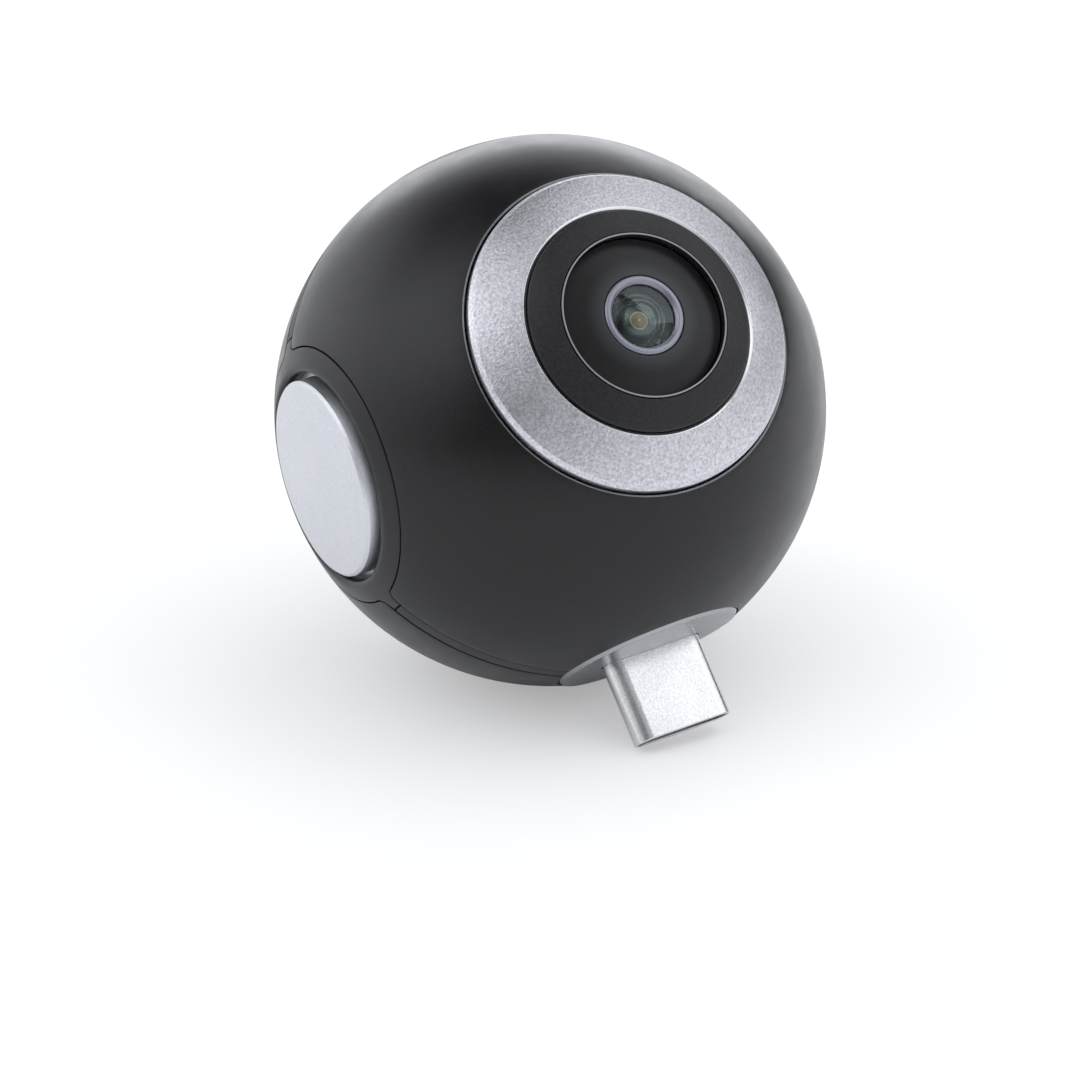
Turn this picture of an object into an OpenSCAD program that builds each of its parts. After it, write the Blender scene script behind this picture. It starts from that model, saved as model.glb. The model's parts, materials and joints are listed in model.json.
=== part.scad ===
// Ball camera with a lens on the front and on the rear, a side button and a plug below.
// Millimetres. The origin is where the plug leaves the ball: +Z up, the front lens looks along -Y.

/* [Ball] */
// Outside diameter of the ball
ball_d = 42.4; // [40:0.2:48]
// Wall of the half shells
shell_wall = 1.6; // [1.2:0.1:2]
// Width of the frame strip that shows between the half shells
strip_w = 1.2; // [0.8:0.1:1.6]
// Centre plane of the frame, from the ball's centre
seam_y = -0.5; // [-0.8:0.1:0]
// Open joint behind the frame strip
seam_gap = 0.2; // [0.1:0.05:0.3]
// Fine joint in front of the frame strip
line_gap = 0.06; // [0.04:0.01:0.1]
// Joint round each piece that is let into the shells
joint_gap = 0.1; // [0.05:0.05:0.2]
// Thickness of the flanges that hold those pieces behind the shells
flange_t = 0.8; // [0.6:0.1:1]
// Reach of those flanges behind the shells
flange_lap = 1; // [0.6:0.1:1.2]
// Fitting clearance between pieces that don't move
fit = 0.05; // [0.02:0.01:0.08]

/* [Lens ring] */
// Outside radius of the silver ring
ring_r = 12.3; // [11.6:0.1:12.8]
// Inside radius of the silver ring
ring_in = 8.6; // [8.2:0.1:9]
// How far the ring stands proud of the ball
ring_proud = 0.4; // [0.1:0.05:0.6]
// Joint between the ring and the shell
ring_gap = 0.15; // [0.1:0.05:0.25]
// Bevel on the edges of the ring and of the shell's opening
ring_bevel = 0.25; // [0.1:0.05:0.4]
// Width of the seat behind the ring
seat_w = 3.1; // [2.9:0.1:3.4]
// Thickness of the seat behind the ring
seat_t = 1.2; // [1:0.1:1.6]

/* [Lens well] */
// Outside radius of the bright accent ring
accent_r = 6.35; // [6:0.05:7]
// Width of the accent ring
accent_w = 0.14; // [0.1:0.02:0.3]
// Rise of the accent ring above the ball that the silver ring follows
accent_rise = 0.2; // [0:0.05:0.3]
// Drop from the accent ring to the edge of the dish
dish_drop = 0.75; // [0.5:0.05:0.9]
// Depth of the shoulder that carries the surround, below the dish's edge
shoulder_drop = 0.85; // [0.7:0.05:1]
// Wall of the well
well_wall = 1.2; // [0.8:0.1:1.6]
// Thickness of the well's flange on the seat
well_flange_t = 0.7; // [0.5:0.1:1]

/* [Lens] */
// Outside radius of the lens barrel
barrel_r = 3.05; // [2.9:0.05:3.3]
// Length of the lens barrel
barrel_len = 8.5; // [8:0.1:9]
// Radius of the glass dome
glass_r = 2.38; // [2.2:0.02:2.5]
// Height of the glass dome above the retainer
dome_h = 0.35; // [0.3:0.05:0.6]
// Drop of the retainer's face below the ball's radius
rim_drop = 0.3; // [0:0.05:0.6]
// Thickness of the retainer ring
retainer_t = 0.45; // [0.35:0.05:0.6]
// Thickness of the front glass at its rim
glass_rim_t = 0.85; // [0.7:0.05:1]
// Radius of the middle glass
middle_r = 1.95; // [1.8:0.05:2.1]
// Radius of the rear glass
rear_glass_r = 2.15; // [1.9:0.05:2.3]
// Radius of the stop between the inner glasses
stop_r = 1.2; // [0.9:0.1:1.5]
// Length of barrel held in the lens holder
barrel_grip = 2.2; // [1.8:0.1:2.6]
// Side of the square lens holder
holder_w = 9; // [8.4:0.1:9.4]

/* [Button] */
// Radius of the silver button
button_r = 7.6; // [7:0.1:7.8]
// Gap round the button
button_gap = 0.45; // [0.3:0.05:0.6]
// Height of the button's rim above the ball at the bezel's lip
button_proud = 0.35; // [0:0.05:0.5]
// Crown of the button's face
button_crown = 0.3; // [0.1:0.05:0.5]
// Bevel on the button's rim
button_bevel = 0.2; // [0.1:0.05:0.3]
// Height of the button's side
button_side = 1.6; // [1.4:0.1:1.8]
// Thickness of the button's face
button_t = 1.1; // [0.9:0.1:1.2]
// Width of the flange that keeps the button in
button_flange_w = 1.1; // [0.8:0.1:1.2]
// Thickness of that flange
button_flange_t = 0.6; // [0.4:0.1:0.7]
// Travel of the button
button_travel = 0.45; // [0.3:0.05:0.5]
// Running clearance of the moving pieces
run_gap = 0.05; // [0.04:0.01:0.08]
// Width of the bezel's face, from its lip to its outside
bezel_w = 1.85; // [1.75:0.05:2.15]
// Round on the bezel's lip
lip_round = 0.5; // [0.3:0.05:0.7]
// Fillet between the bezel and its ears
ear_fillet = 1; // [0.8:0.1:1.4]
// Straight end of each ear
ear_tail = 0.2; // [0.1:0.05:0.4]

/* [Switch] */
// Height of the bracket behind the button
bracket_h = 1.45; // [1.3:0.05:1.6]
// Thickness of the bracket's plate
bracket_t = 0.8; // [0.6:0.1:1]
// Thickness of the switch board
switch_board_t = 0.6; // [0.4:0.1:0.8]
// Side of the switch's body
switch_w = 4.5; // [4:0.1:5]
// Height of the switch's body
switch_h = 1.4; // [1.3:0.1:1.6]
// Height of the plunger above the switch's body
plunger_out = 0.7; // [0.6:0.05:0.8]
// Radius of the plunger
plunger_r = 1; // [0.8:0.1:1.2]

/* [Caps] */
// Radius of the top cap
cap_r = 7.4; // [6.9:0.1:7.9]
// How far the top cap stands proud of the ball
cap_proud = 0; // [0:0.05:0.3]

/* [Plug] */
// Radius of the plate round the plug
plate_r = 7.3; // [6.8:0.1:7.8]
// How far the plate stands proud of the ball
plate_proud = 0.15; // [0:0.05:0.3]
// Rise of the plate's face from its rim to its middle
plate_crown = 0.25; // [0.15:0.05:0.5]
// Bevel on the plate's rim
plate_bevel = 0.25; // [0.1:0.05:0.4]
// Width of the plug
plug_w = 8.25; // [8:0.05:8.5]
// Thickness of the plug
plug_t = 2.4; // [2.3:0.05:2.6]
// Wall of the plug's shell
plug_wall = 0.25; // [0.2:0.05:0.3]
// Length of the plug outside the ball
plug_out = 5.55; // [5:0.05:6.5]
// Clearance of the plate's slot round the plug
slot_gap = 0.12; // [0.06:0.02:0.2]
// Length of the plug behind the plate
plug_tail = 0.9; // [0.7:0.1:1.2]
// Width of the socket in the plug
socket_w = 6.9; // [6.7:0.05:7]
// Height of the socket in the plug
socket_t = 1; // [0.9:0.05:1.1]
// Depth of the socket
socket_depth = 4.4; // [4:0.1:4.8]
// Contacts in each row
contact_count = 12; // [6:1:12]
// Spacing of the contacts
contact_pitch = 0.5; // [0.4:0.05:0.55]

/* [Boards] */
// Thickness of the main board
board_t = 1; // [0.8:0.1:1]
// Height of the frame's ring in front of the main board
frame_ring_h = 2.5; // [2:0.1:3]
// Width of the frame's ring
frame_ring_w = 1.4; // [1.3:0.1:1.6]
// Radius of the frame's pillars
pillar_r = 1.6; // [1.4:0.1:1.7]
// Side of the sensor boards
sensor_board_w = 12; // [11:0.2:12.4]
// Thickness of the sensor boards
sensor_board_t = 0.8; // [0.6:0.1:1]
// Side of the image processor
processor_w = 8; // [7:0.2:8.4]
// Height of the flex connectors
connector_h = 0.9; // [0.7:0.1:1.1]
// Width of the flex cables
flex_w = 5; // [4:0.2:5.6]
// Thickness of the flex cables
flex_t = 0.2; // [0.15:0.05:0.3]

/* [Screws] */
// Shank radius of the shell screws
shell_screw_r = 0.7; // [0.6:0.05:0.8]
// Head radius of the shell screws
shell_head_r = 1.25; // [1.1:0.05:1.3]
// Length of the shell screws below the head
shell_screw_len = 5; // [4:0.2:6]
// Shank radius of the small screws
small_screw_r = 0.4; // [0.35:0.05:0.45]
// Head radius of the small screws
small_head_r = 0.65; // [0.55:0.05:0.65]

/* [Hidden] */
$fn = 128;

// Margin by which a cut runs past what it cuts
cut = 1;

// Colours
shell_black = [0.13, 0.13, 0.14];
inner_black = [0.07, 0.07, 0.08];
silver = [0.74, 0.75, 0.78];
steel = [0.80, 0.81, 0.83];
board_green = [0.08, 0.32, 0.20];
chip_black = [0.16, 0.16, 0.17];
gold = [0.83, 0.66, 0.30];
glass_tint = [0.35, 0.50, 0.45, 0.6];
rim_grey = [0.58, 0.56, 0.64];
flex_amber = [0.72, 0.42, 0.14];
pad_blue = [0.55, 0.60, 0.68];
capacitor_tan = [0.62, 0.50, 0.36];
connector_ivory = [0.85, 0.82, 0.74];

// Ball and seam
ball_r = ball_d / 2;
inner_r = ball_r - shell_wall;
strip_front = seam_y - strip_w / 2;
strip_back = seam_y + strip_w / 2;
seat_clear = 0.1;
flange_clear = 0.2;
function height_on(radius, reach) = sqrt(radius * radius - reach * reach);

// Lens stack, as heights from the ball's centre along the lens axis
ring_sphere = ball_r + ring_proud;
open_r = ring_r + ring_gap;
seat_h = height_on(inner_r, open_r);
seat_in = open_r - seat_w;
ring_bottom = seat_h + well_flange_t;
surround_r = ring_in - fit;
accent_h = height_on(ring_sphere, accent_r) + accent_rise;
dish_r = accent_r - accent_w - fit;
dish_edge_h = accent_h - dish_drop;
dish_sphere = sqrt(dish_edge_h * dish_edge_h + dish_r * dish_r);
shoulder_h = dish_edge_h - shoulder_drop;
rim_h = ball_r - rim_drop;
barrel_top = rim_h - retainer_t;
barrel_bottom = barrel_top - barrel_len;
collar_in = barrel_r + fit;
holder_top = barrel_bottom + barrel_grip;
glass_bottom = barrel_top - glass_rim_t;
barrel_lip = 0.35;
glass_flange_r = barrel_r - barrel_lip;
glass_space = 2;
middle_floor = glass_bottom - glass_space;
stop_t = 1.2;
sensor_t = 0.9;
sensor_w = 6.4;
filter_w = 5.6;
filter_t = 0.3;
filter_drop = 1.35;
filter_h = barrel_bottom - filter_drop;
filter_seat = 0.3;
back_focus = 3.2;
sensor_board_top = barrel_bottom - back_focus;
sensor_board_back = sensor_board_top - sensor_board_t;
holder_wall = 0.8;
chamber_w = holder_w - 2 * holder_wall;

// Button stack, as heights from the ball's centre along the button's axis
lip_r = button_r + button_gap;
bezel_r = lip_r + bezel_w;
button_rim_h = height_on(ball_r, lip_r) + button_proud;
lip_under = button_rim_h - button_side;
button_flange_r = button_r + button_flange_w;
button_flange_top = lip_under - run_gap;
button_flange_bottom = button_flange_top - button_flange_t;
button_ceiling = button_rim_h - button_t;
nub_r = plunger_r + 0.6;
bezel_flange_r = bezel_r + flange_lap;
bezel_flange_top = height_on(inner_r, bezel_flange_r + abs(seam_y)) - seat_clear;
bezel_flange_bottom = bezel_flange_top - flange_t;
bracket_bottom = bezel_flange_bottom - bracket_h;
bracket_face = bracket_bottom + bracket_t;
bracket_rim_w = 1.6;
switch_board_size = [10, 8];
switch_bottom = bracket_face + switch_board_t;
switch_top = switch_bottom + switch_h;
switch_base_t = 0.3;
switch_floor = switch_bottom + switch_base_t;
plunger_top = switch_top + plunger_out;
plunger_flange_t = 0.15;
plunger_flange_w = 0.4;
plunger_flange_r = plunger_r + plunger_flange_w;
plunger_bottom = switch_floor + button_travel + run_gap;
switch_cavity_top = plunger_bottom + plunger_flange_t + run_gap;
dome_t = 0.06;
dome_r = plunger_flange_r;
side_plate_t = 1.2;
side_floor = button_rim_h - side_plate_t;
crown_facets = 2000;
side_web = 0.9;

// Cap and plate
cap_flange_r = cap_r + flange_lap;
cap_flange_top = height_on(inner_r, cap_flange_r + abs(seam_y)) - seat_clear;
cap_skirt = 1.2;
plate_rim_h = height_on(ball_r + plate_proud, plate_r);
plate_flange_r = plate_r + flange_lap;
plate_flange_top = height_on(inner_r, plate_flange_r) - seat_clear;
plate_flange_bottom = plate_flange_top - flange_t;

// Plug, as heights from the ball's centre along the plug's axis
plug_tip = ball_r + plug_out;
plug_rear = plate_flange_bottom - plug_tail;
mouth_drop = 0.6;
mouth_h = plug_tip - mouth_drop;
contact_w = 0.25;
contact_t = 0.15;
contact_drop = 0.5;
contact_tip = mouth_h - contact_drop;
contact_tail = 1.4;
contact_fit = 0.02;
latch_t = 0.17;
latch_w = 0.7;
latch_inset = 1;

// Frame and boards
frame_ring_r = bracket_bottom - flange_clear;
frame_ring_in = frame_ring_r - frame_ring_w;
frame_ring_mid = frame_ring_r - frame_ring_w / 2;
band_r = inner_r - fit;
band_t = 1.2;
band_w = 6;
rib_w = 1.6;
board_r = frame_ring_r;
board_face = board_t / 2;
pillar_shift = 0.1;
pillar_circle = open_r - seat_w / 2 + pillar_shift;
pillar_h = seat_h - seat_t;
tongue_w = 9;
processor_t = 1;
pad_t = 0.5;
pad_w = processor_w - 1;
can_wall = 0.2;
can_room = 1;
can_w = processor_w + 2 * can_room;
can_top = board_face + processor_t + pad_t + can_wall;
can_clear = 0.6;
chip_y = can_w / 2 - height_on(frame_ring_in - can_clear, can_w / 2);
connector_y = 4;
connector_l = 6;
connector_w = 2;
flex_run = 3;
memory_size = [8, 6, 0.9];
power_size = [3, 3, 0.8];
power_x = 7.5;
capacitor_size = [1, 0.5, 0.5];
capacitor_count = 8;
capacitor_pitch = 1.4;
capacitor_y = chip_y - memory_size[1] / 2 - 1;
board_screw_angle = 20;
board_screw_len = 2;
shell_head_t = 0.7;
cross_size = [0.3, 1.5, 0.35];
small_head_t = 0.5;

// Frames of reference: the local +Z axis points out of the ball
module ball() translate([0, 0, ball_r]) children();
module front_axis() ball() rotate([90, 0, 0]) children();
module rear_axis() ball() rotate([90, 0, 180]) children();
module button_axis() translate([0, seam_y, ball_r]) rotate([0, -90, 0]) children();
module side_axis() translate([0, seam_y, ball_r]) rotate([0, 90, 0]) children();
module top_axis() translate([0, seam_y, ball_r]) children();
module plug_axis() ball() rotate([180, 0, 0]) children();

// Cylinder, tube and block between two heights
module rod(r, h0, h1) translate([0, 0, h0]) cylinder(r = r, h = h1 - h0);
module tube(ro, ri, h0, h1) difference() {
    rod(ro, h0, h1);
    rod(ri, h0 - cut, h1 + cut);
}
module block(w, l, h0, h1) translate([-w / 2, -l / 2, h0]) cube([w, l, h1 - h0]);

// Everything between two planes across the Y axis
module slab(y0, y1)
    translate([-ball_d, y0, -ball_d]) cube([2 * ball_d, y1 - y0, 3 * ball_d]);

// The ball as the let-in pieces on the frame's centre plane see it
module seam_sphere(r) translate([0, -seam_y, 0]) sphere(r);

// Bezel outline: a disc with an ear on each side, along the seam
module bezel_outline(grow = 0) {
    disc_r = bezel_r + grow;
    half = strip_w / 2 + grow;
    fillet = ear_fillet - grow;
    centre_x = height_on(disc_r + fillet, half + fillet);
    circle(r = disc_r);
    for (end = [0, 180]) rotate(end) {
        translate([0, -half]) square([centre_x + ear_tail + grow, 2 * half]);
        for (side = [-1, 1]) difference() {
            polygon([[0, 0], [centre_x, 0], [centre_x, side * (half + fillet)]]);
            translate([centre_x, side * (half + fillet)]) circle(r = fillet);
        }
    }
}

// Openings in the shells and the frame strip for the let-in pieces
module let_in_openings() {
    button_axis() linear_extrude(height = ball_r + cut) bezel_outline(joint_gap);
    side_axis() linear_extrude(height = ball_r + cut) bezel_outline(joint_gap);
    top_axis() rod(cap_r + joint_gap, 0, ball_r + cut);
    plug_axis() rod(plate_r + joint_gap, 0, ball_r + cut);
}

// Room for the flanges behind the shells
module flange_room() intersection() {
    ball() sphere(inner_r);
    union() {
        button_axis() rod(bezel_flange_r + flange_clear, 0, ball_r);
        side_axis() rod(bezel_flange_r + flange_clear, 0, ball_r);
        top_axis() rod(cap_flange_r + flange_clear, 0, ball_r);
        plug_axis() rod(plate_flange_r + flange_clear, 0, ball_r);
    }
}

// Shell screws stand on the pillars' circle
module on_pillars() for (turn = [45:90:315]) rotate(turn) translate([pillar_circle, 0, 0]) children();

// Profile that bevels a round edge at radius r on a sphere; side is 1 on a disc and -1 on a hole
module edge_bevel(sphere_r, r, bevel, side) {
    low = height_on(sphere_r, r) - bevel;
    high = sphere_r + cut;
    polygon([
        [r, low], [r - side * bevel, height_on(sphere_r, r - side * bevel)],
        [r - side * bevel, high], [r + side * cut, high], [r + side * cut, low]
    ]);
}

// Lens opening of a shell, with its bevelled edge
module lens_opening() {
    rod(open_r, seat_h, ball_r + cut);
    rotate_extrude() edge_bevel(ball_r, open_r, ring_bevel, -1);
}

// Seat behind the lens ring, with holes for the shell screws
module lens_seat() difference() {
    intersection() {
        sphere(ball_r - shell_wall / 2);
        rod(ball_r, seat_h - seat_t, seat_h);
    }
    rod(seat_in, 0, ball_r);
    on_pillars() rod(shell_screw_r + 2 * fit, 0, ball_r);
    on_pillars() rod(shell_head_r + fit, seat_h - shell_head_t - fit, ball_r);
}

module half_shell(y0, y1) intersection() {
    difference() {
        ball() sphere(ball_r);
        ball() sphere(inner_r);
        let_in_openings();
    }
    slab(y0, y1);
}

module front_shell() color(shell_black) {
    difference() {
        half_shell(-ball_d, strip_front - line_gap);
        front_axis() lens_opening();
    }
    front_axis() lens_seat();
}

module rear_shell() color(shell_black) {
    difference() {
        half_shell(strip_back + seam_gap, ball_d);
        rear_axis() lens_opening();
    }
    rear_axis() lens_seat();
}

// Frame: a band behind the seam, a ring that carries the main board, and four pillars
module mid_frame() color(inner_black) {
    difference() {
        union() {
            intersection() {
                ball() sphere(ball_r);
                slab(strip_front, strip_back);
            }
            intersection() {
                ball() sphere(band_r);
                slab(seam_y - band_w / 2, seam_y + band_w / 2);
            }
        }
        ball() sphere(band_r - band_t);
        let_in_openings();
        flange_room();
    }
    front_axis() difference() {
        union() {
            tube(frame_ring_r, frame_ring_in, board_face, board_face + frame_ring_h);
            on_pillars() rod(pillar_r, -pillar_h, pillar_h);
            intersection() {
                sphere(band_r - band_t / 2);
                for (turn = [45:90:315]) rotate(turn)
                    translate([pillar_circle, -rib_w / 2, board_face])
                        cube([ball_r, rib_w, frame_ring_h]);
            }
        }
        on_pillars() rod(shell_screw_r + fit, pillar_h - shell_screw_len, pillar_h + cut);
        on_pillars() rod(shell_screw_r + fit, -pillar_h - cut, shell_screw_len - pillar_h);
        on_board_screws() rod(small_screw_r + fit, 0, board_face + board_screw_len + fit);
    }
}

module on_board_screws() for (side = [0, 180], turn = [-board_screw_angle, board_screw_angle])
    rotate(side + turn) translate([frame_ring_mid, 0, 0]) children();

// Blank of a bezel: outline and flange, rounded off with the ball
module bezel_blank() {
    intersection() {
        translate([0, 0, bezel_flange_bottom]) linear_extrude(height = ball_r) bezel_outline();
        seam_sphere(ball_r);
    }
    rod(bezel_flange_r, bezel_flange_bottom, bezel_flange_top);
}

// Cut that rounds the lip of a bezel's bore
module lip_cut() {
    lip_h = height_on(ball_r, lip_r + lip_round);
    rotate_extrude() difference() {
        translate([lip_r - cut, lip_h - lip_round]) square([lip_round + cut, ball_r - lip_h + lip_round]);
        translate([lip_r + lip_round, lip_h - lip_round]) circle(r = lip_round);
    }
}

module button_bezel() color(shell_black) button_axis() difference() {
    bezel_blank();
    rod(lip_r, 0, ball_r + cut);
    rod(button_flange_r + flange_clear, 0, lip_under);
    lip_cut();
    on_bracket_screws() rod(small_screw_r + fit, 0, bezel_flange_top - fit);
}

module side_bezel() color(shell_black) side_axis() difference() {
    bezel_blank();
    rod(lip_r, side_floor, ball_r + cut);
    rod(lip_r, 0, side_floor - side_web);
    lip_cut();
}

// Crowned disc with a bevelled rim
module crowned_disc(r, rim_h, crown, bevel, h0) {
    crown_r = (r * r + crown * crown) / (2 * crown);
    crown_h = rim_h + crown - crown_r;
    rotate_extrude() difference() {
        intersection() {
            translate([0, h0]) square([r, ball_r - h0]);
            translate([0, crown_h]) circle(r = crown_r, $fn = crown_facets);
        }
        translate([0, crown_h]) edge_bevel(crown_r, r, bevel, 1);
    }
}

module button_disc(h0) crowned_disc(button_r, button_rim_h, button_crown, button_bevel, h0);

module shutter_button() color(silver) button_axis() {
    difference() {
        union() {
            button_disc(button_flange_bottom);
            rod(button_flange_r, button_flange_bottom, button_flange_top);
        }
        rod(button_r - button_t, 0, button_ceiling);
    }
    rod(nub_r, plunger_top + run_gap / 2, button_ceiling + button_t / 2);
}

module on_bracket_screws() for (side = [-1, 1])
    translate([0, side * (bezel_flange_r - bracket_rim_w / 2), 0]) children();

module button_bracket() color(inner_black) button_axis() difference() {
    union() {
        rod(bezel_flange_r, bracket_bottom, bracket_face);
        tube(bezel_flange_r, bezel_flange_r - bracket_rim_w, bracket_face - fit, bezel_flange_bottom);
    }
    on_bracket_screws() rod(small_screw_r + fit, 0, ball_r);
}

module bracket_screws() color(steel) button_axis() on_bracket_screws() {
    rod(small_head_r, bracket_bottom - small_head_t, bracket_bottom);
    rod(small_screw_r, bracket_bottom - fit, bezel_flange_bottom + flange_t / 2);
}

module switch_board() color(board_green) button_axis()
    block(switch_board_size[0], switch_board_size[1], bracket_face, switch_bottom);

module tact_switch() color(chip_black) button_axis() difference() {
    block(switch_w, switch_w, switch_bottom, switch_top);
    rod(plunger_flange_r + run_gap, switch_floor, switch_cavity_top);
    rod(plunger_r + run_gap, switch_floor, ball_r);
}

// Snap dome that returns the plunger
module switch_dome() color(steel) button_axis() {
    rise = plunger_bottom - switch_floor;
    bow_r = (dome_r * dome_r + rise * rise) / (2 * rise);
    intersection() {
        translate([0, 0, plunger_bottom - bow_r]) difference() {
            sphere(bow_r);
            sphere(bow_r - dome_t);
        }
        rod(dome_r, switch_floor, plunger_bottom + cut);
    }
}

module switch_plunger() color(inner_black) button_axis() {
    rod(plunger_flange_r, plunger_bottom, plunger_bottom + plunger_flange_t);
    rod(plunger_r, plunger_bottom, plunger_top);
}

module side_plate() color(silver) side_axis() button_disc(side_floor);

module top_cap() color(shell_black) top_axis() difference() {
    union() {
        intersection() {
            rod(cap_r, cap_flange_top - flange_t, ball_r + cut);
            seam_sphere(ball_r + cap_proud);
        }
        rod(cap_flange_r, cap_flange_top - flange_t, cap_flange_top);
    }
    intersection() {
        rod(cap_r - cap_skirt, 0, ball_r);
        seam_sphere(inner_r);
    }
}

// Flat bar with round ends
module stadium(w, t) {
    square([w - t, t], center = true);
    for (side = [-1, 1]) translate([side * (w - t) / 2, 0]) circle(d = t);
}

module bar(w, t, h0, h1) translate([0, 0, h0]) linear_extrude(height = h1 - h0) stadium(w, t);

module plug_plate() color(silver) plug_axis() difference() {
    union() {
        crowned_disc(plate_r, plate_rim_h, plate_crown, plate_bevel, plate_flange_bottom);
        rod(plate_flange_r, plate_flange_bottom, plate_flange_top);
    }
    bar(plug_w + 2 * slot_gap, plug_t + 2 * slot_gap, 0, ball_r + cut);
}

module usb_plug_shell() color(steel) plug_axis() difference() {
    bar(plug_w, plug_t, plug_rear, plug_tip);
    bar(plug_w - 2 * plug_wall, plug_t - 2 * plug_wall, 0, plug_tip + cut);
}

// Contacts and latches lie in the walls of the socket; grow opens their slots in the insulator
module on_contacts() for (side = [-1, 1], i = [0:contact_count - 1])
    translate([(i - (contact_count - 1) / 2) * contact_pitch, side * (socket_t + contact_t) / 2, 0])
        children();

module on_latches() for (side = [-1, 1]) translate([side * (socket_w + latch_t) / 2, 0, 0]) children();

module contact(grow = 0)
    block(contact_w + 2 * grow, contact_t + 2 * grow, plug_rear - contact_tail - grow, contact_tip + grow);

module latch(grow = 0)
    block(latch_t + 2 * grow, latch_w + 2 * grow, plug_rear + latch_inset - grow, contact_tip + grow);

module usb_plug_insulator() color(inner_black) plug_axis() difference() {
    bar(plug_w - 2 * plug_wall - 2 * fit, plug_t - 2 * plug_wall - 2 * fit, plug_rear, mouth_h);
    block(socket_w, socket_t, mouth_h - socket_depth, mouth_h + cut);
    on_contacts() contact(contact_fit);
    on_latches() latch(contact_fit);
}

module usb_plug_contacts() color(gold) plug_axis() on_contacts() contact();

module usb_plug_latches() color(steel) plug_axis() on_latches() latch();

module main_board() color(board_green) front_axis() difference() {
    union() {
        rod(board_r, -board_face, board_face);
        translate([-tongue_w / 2, -plug_rear, -board_face]) cube([tongue_w, plug_rear, board_t]);
    }
    on_pillars() rod(pillar_r + 2 * fit, -board_t, board_t);
    on_board_screws() rod(small_screw_r + fit, -board_t, board_t);
}

module at_chip() translate([0, chip_y, 0]) children();

module image_processor() color(chip_black) front_axis() at_chip()
    block(processor_w, processor_w, board_face, board_face + processor_t);

module thermal_pad() color(pad_blue) front_axis() at_chip()
    block(pad_w, pad_w, board_face + processor_t, can_top - can_wall);

module shield_can() color(steel) front_axis() at_chip() difference() {
    block(can_w, can_w, board_face, can_top);
    block(can_w - 2 * can_wall, can_w - 2 * can_wall, 0, can_top - can_wall);
}

module memory_chip() color(chip_black) rear_axis() at_chip()
    block(memory_size[0], memory_size[1], board_face, board_face + memory_size[2]);

module power_chips() color(chip_black) rear_axis() for (side = [-1, 1])
    translate([side * power_x, 0, 0])
        block(power_size[0], power_size[1], board_face, board_face + power_size[2]);

module board_capacitors() color(capacitor_tan) rear_axis()
    for (i = [0:capacitor_count - 1])
        translate([(i - (capacitor_count - 1) / 2) * capacitor_pitch, capacitor_y, 0])
            block(capacitor_size[0], capacitor_size[1], board_face, board_face + capacitor_size[2]);

module flex_connectors() color(connector_ivory) {
    front_axis() connector_pair();
    rear_axis() connector_pair();
}

module connector_pair() translate([0, connector_y, 0]) {
    block(connector_l, connector_w, board_face, board_face + connector_h);
    block(connector_l, connector_w, sensor_board_back - connector_h, sensor_board_back);
}

// Cross-head screw, its head's face at height 0
module shell_screw() difference() {
    union() {
        rod(shell_head_r, -shell_head_t, 0);
        rod(shell_screw_r, -shell_head_t - shell_screw_len, 0);
    }
    for (turn = [0, 90]) rotate(turn) block(cross_size[0], cross_size[1], -cross_size[2], cut);
}

module shell_screws() on_pillars() translate([0, 0, seat_h - fit]) shell_screw();

module front_shell_screws() color(steel) front_axis() shell_screws();

module rear_shell_screws() color(steel) rear_axis() shell_screws();

module board_screws() color(steel) rear_axis() on_board_screws() {
    rod(small_head_r, board_face, board_face + small_head_t);
    rod(small_screw_r, -board_face - board_screw_len, board_face + small_head_t / 2);
}

// Lens pieces, along the lens axis
// Ring whose face follows a sphere, from height h0
module sphere_ring(ro, ri, h0, sphere_r) intersection() {
    translate([ri, h0]) square([ro - ri, sphere_r]);
    circle(r = sphere_r);
}

module lens_ring() rotate_extrude() difference() {
    sphere_ring(ring_r, ring_in, ring_bottom, ring_sphere);
    edge_bevel(ring_sphere, ring_r, ring_bevel, 1);
    edge_bevel(ring_sphere, ring_in, ring_bevel, -1);
}

module lens_surround() rotate_extrude() polygon([
    [accent_r + fit, shoulder_h], [surround_r, shoulder_h],
    [surround_r, height_on(ring_sphere, surround_r)], [accent_r + fit, accent_h]
]);

module accent_ring() tube(accent_r, accent_r - accent_w, shoulder_h, accent_h + fit);

module lens_well() {
    well_in = surround_r - well_wall;
    collar_r = collar_in + well_wall;
    roof_h = shoulder_h - well_wall / 2;
    rotate_extrude() intersection() {
        polygon([
            [collar_in, holder_top], [collar_r, holder_top], [collar_r, roof_h],
            [well_in, roof_h], [well_in, seat_h], [ring_r - fit, seat_h],
            [ring_r - fit, ring_bottom], [surround_r, ring_bottom], [surround_r, shoulder_h],
            [dish_r, shoulder_h], [dish_r, ball_r], [collar_in, ball_r]
        ]);
        circle(r = dish_sphere);
    }
}

module lens_barrel() difference() {
    rod(barrel_r, barrel_bottom, barrel_top);
    rod(glass_flange_r + fit, glass_bottom, barrel_top + cut);
    rod(middle_r + fit, middle_floor, barrel_top);
    rod(stop_r, barrel_bottom, barrel_top);
    rod(rear_glass_r + fit, barrel_bottom - cut, middle_floor - stop_t);
}

module lens_retainer() difference() {
    tube(barrel_r, glass_r + fit, barrel_top, rim_h);
    translate([0, 0, rim_h - retainer_t / 2])
        cylinder(r1 = glass_r + fit, r2 = glass_r + fit + retainer_t, h = retainer_t);
}

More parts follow.
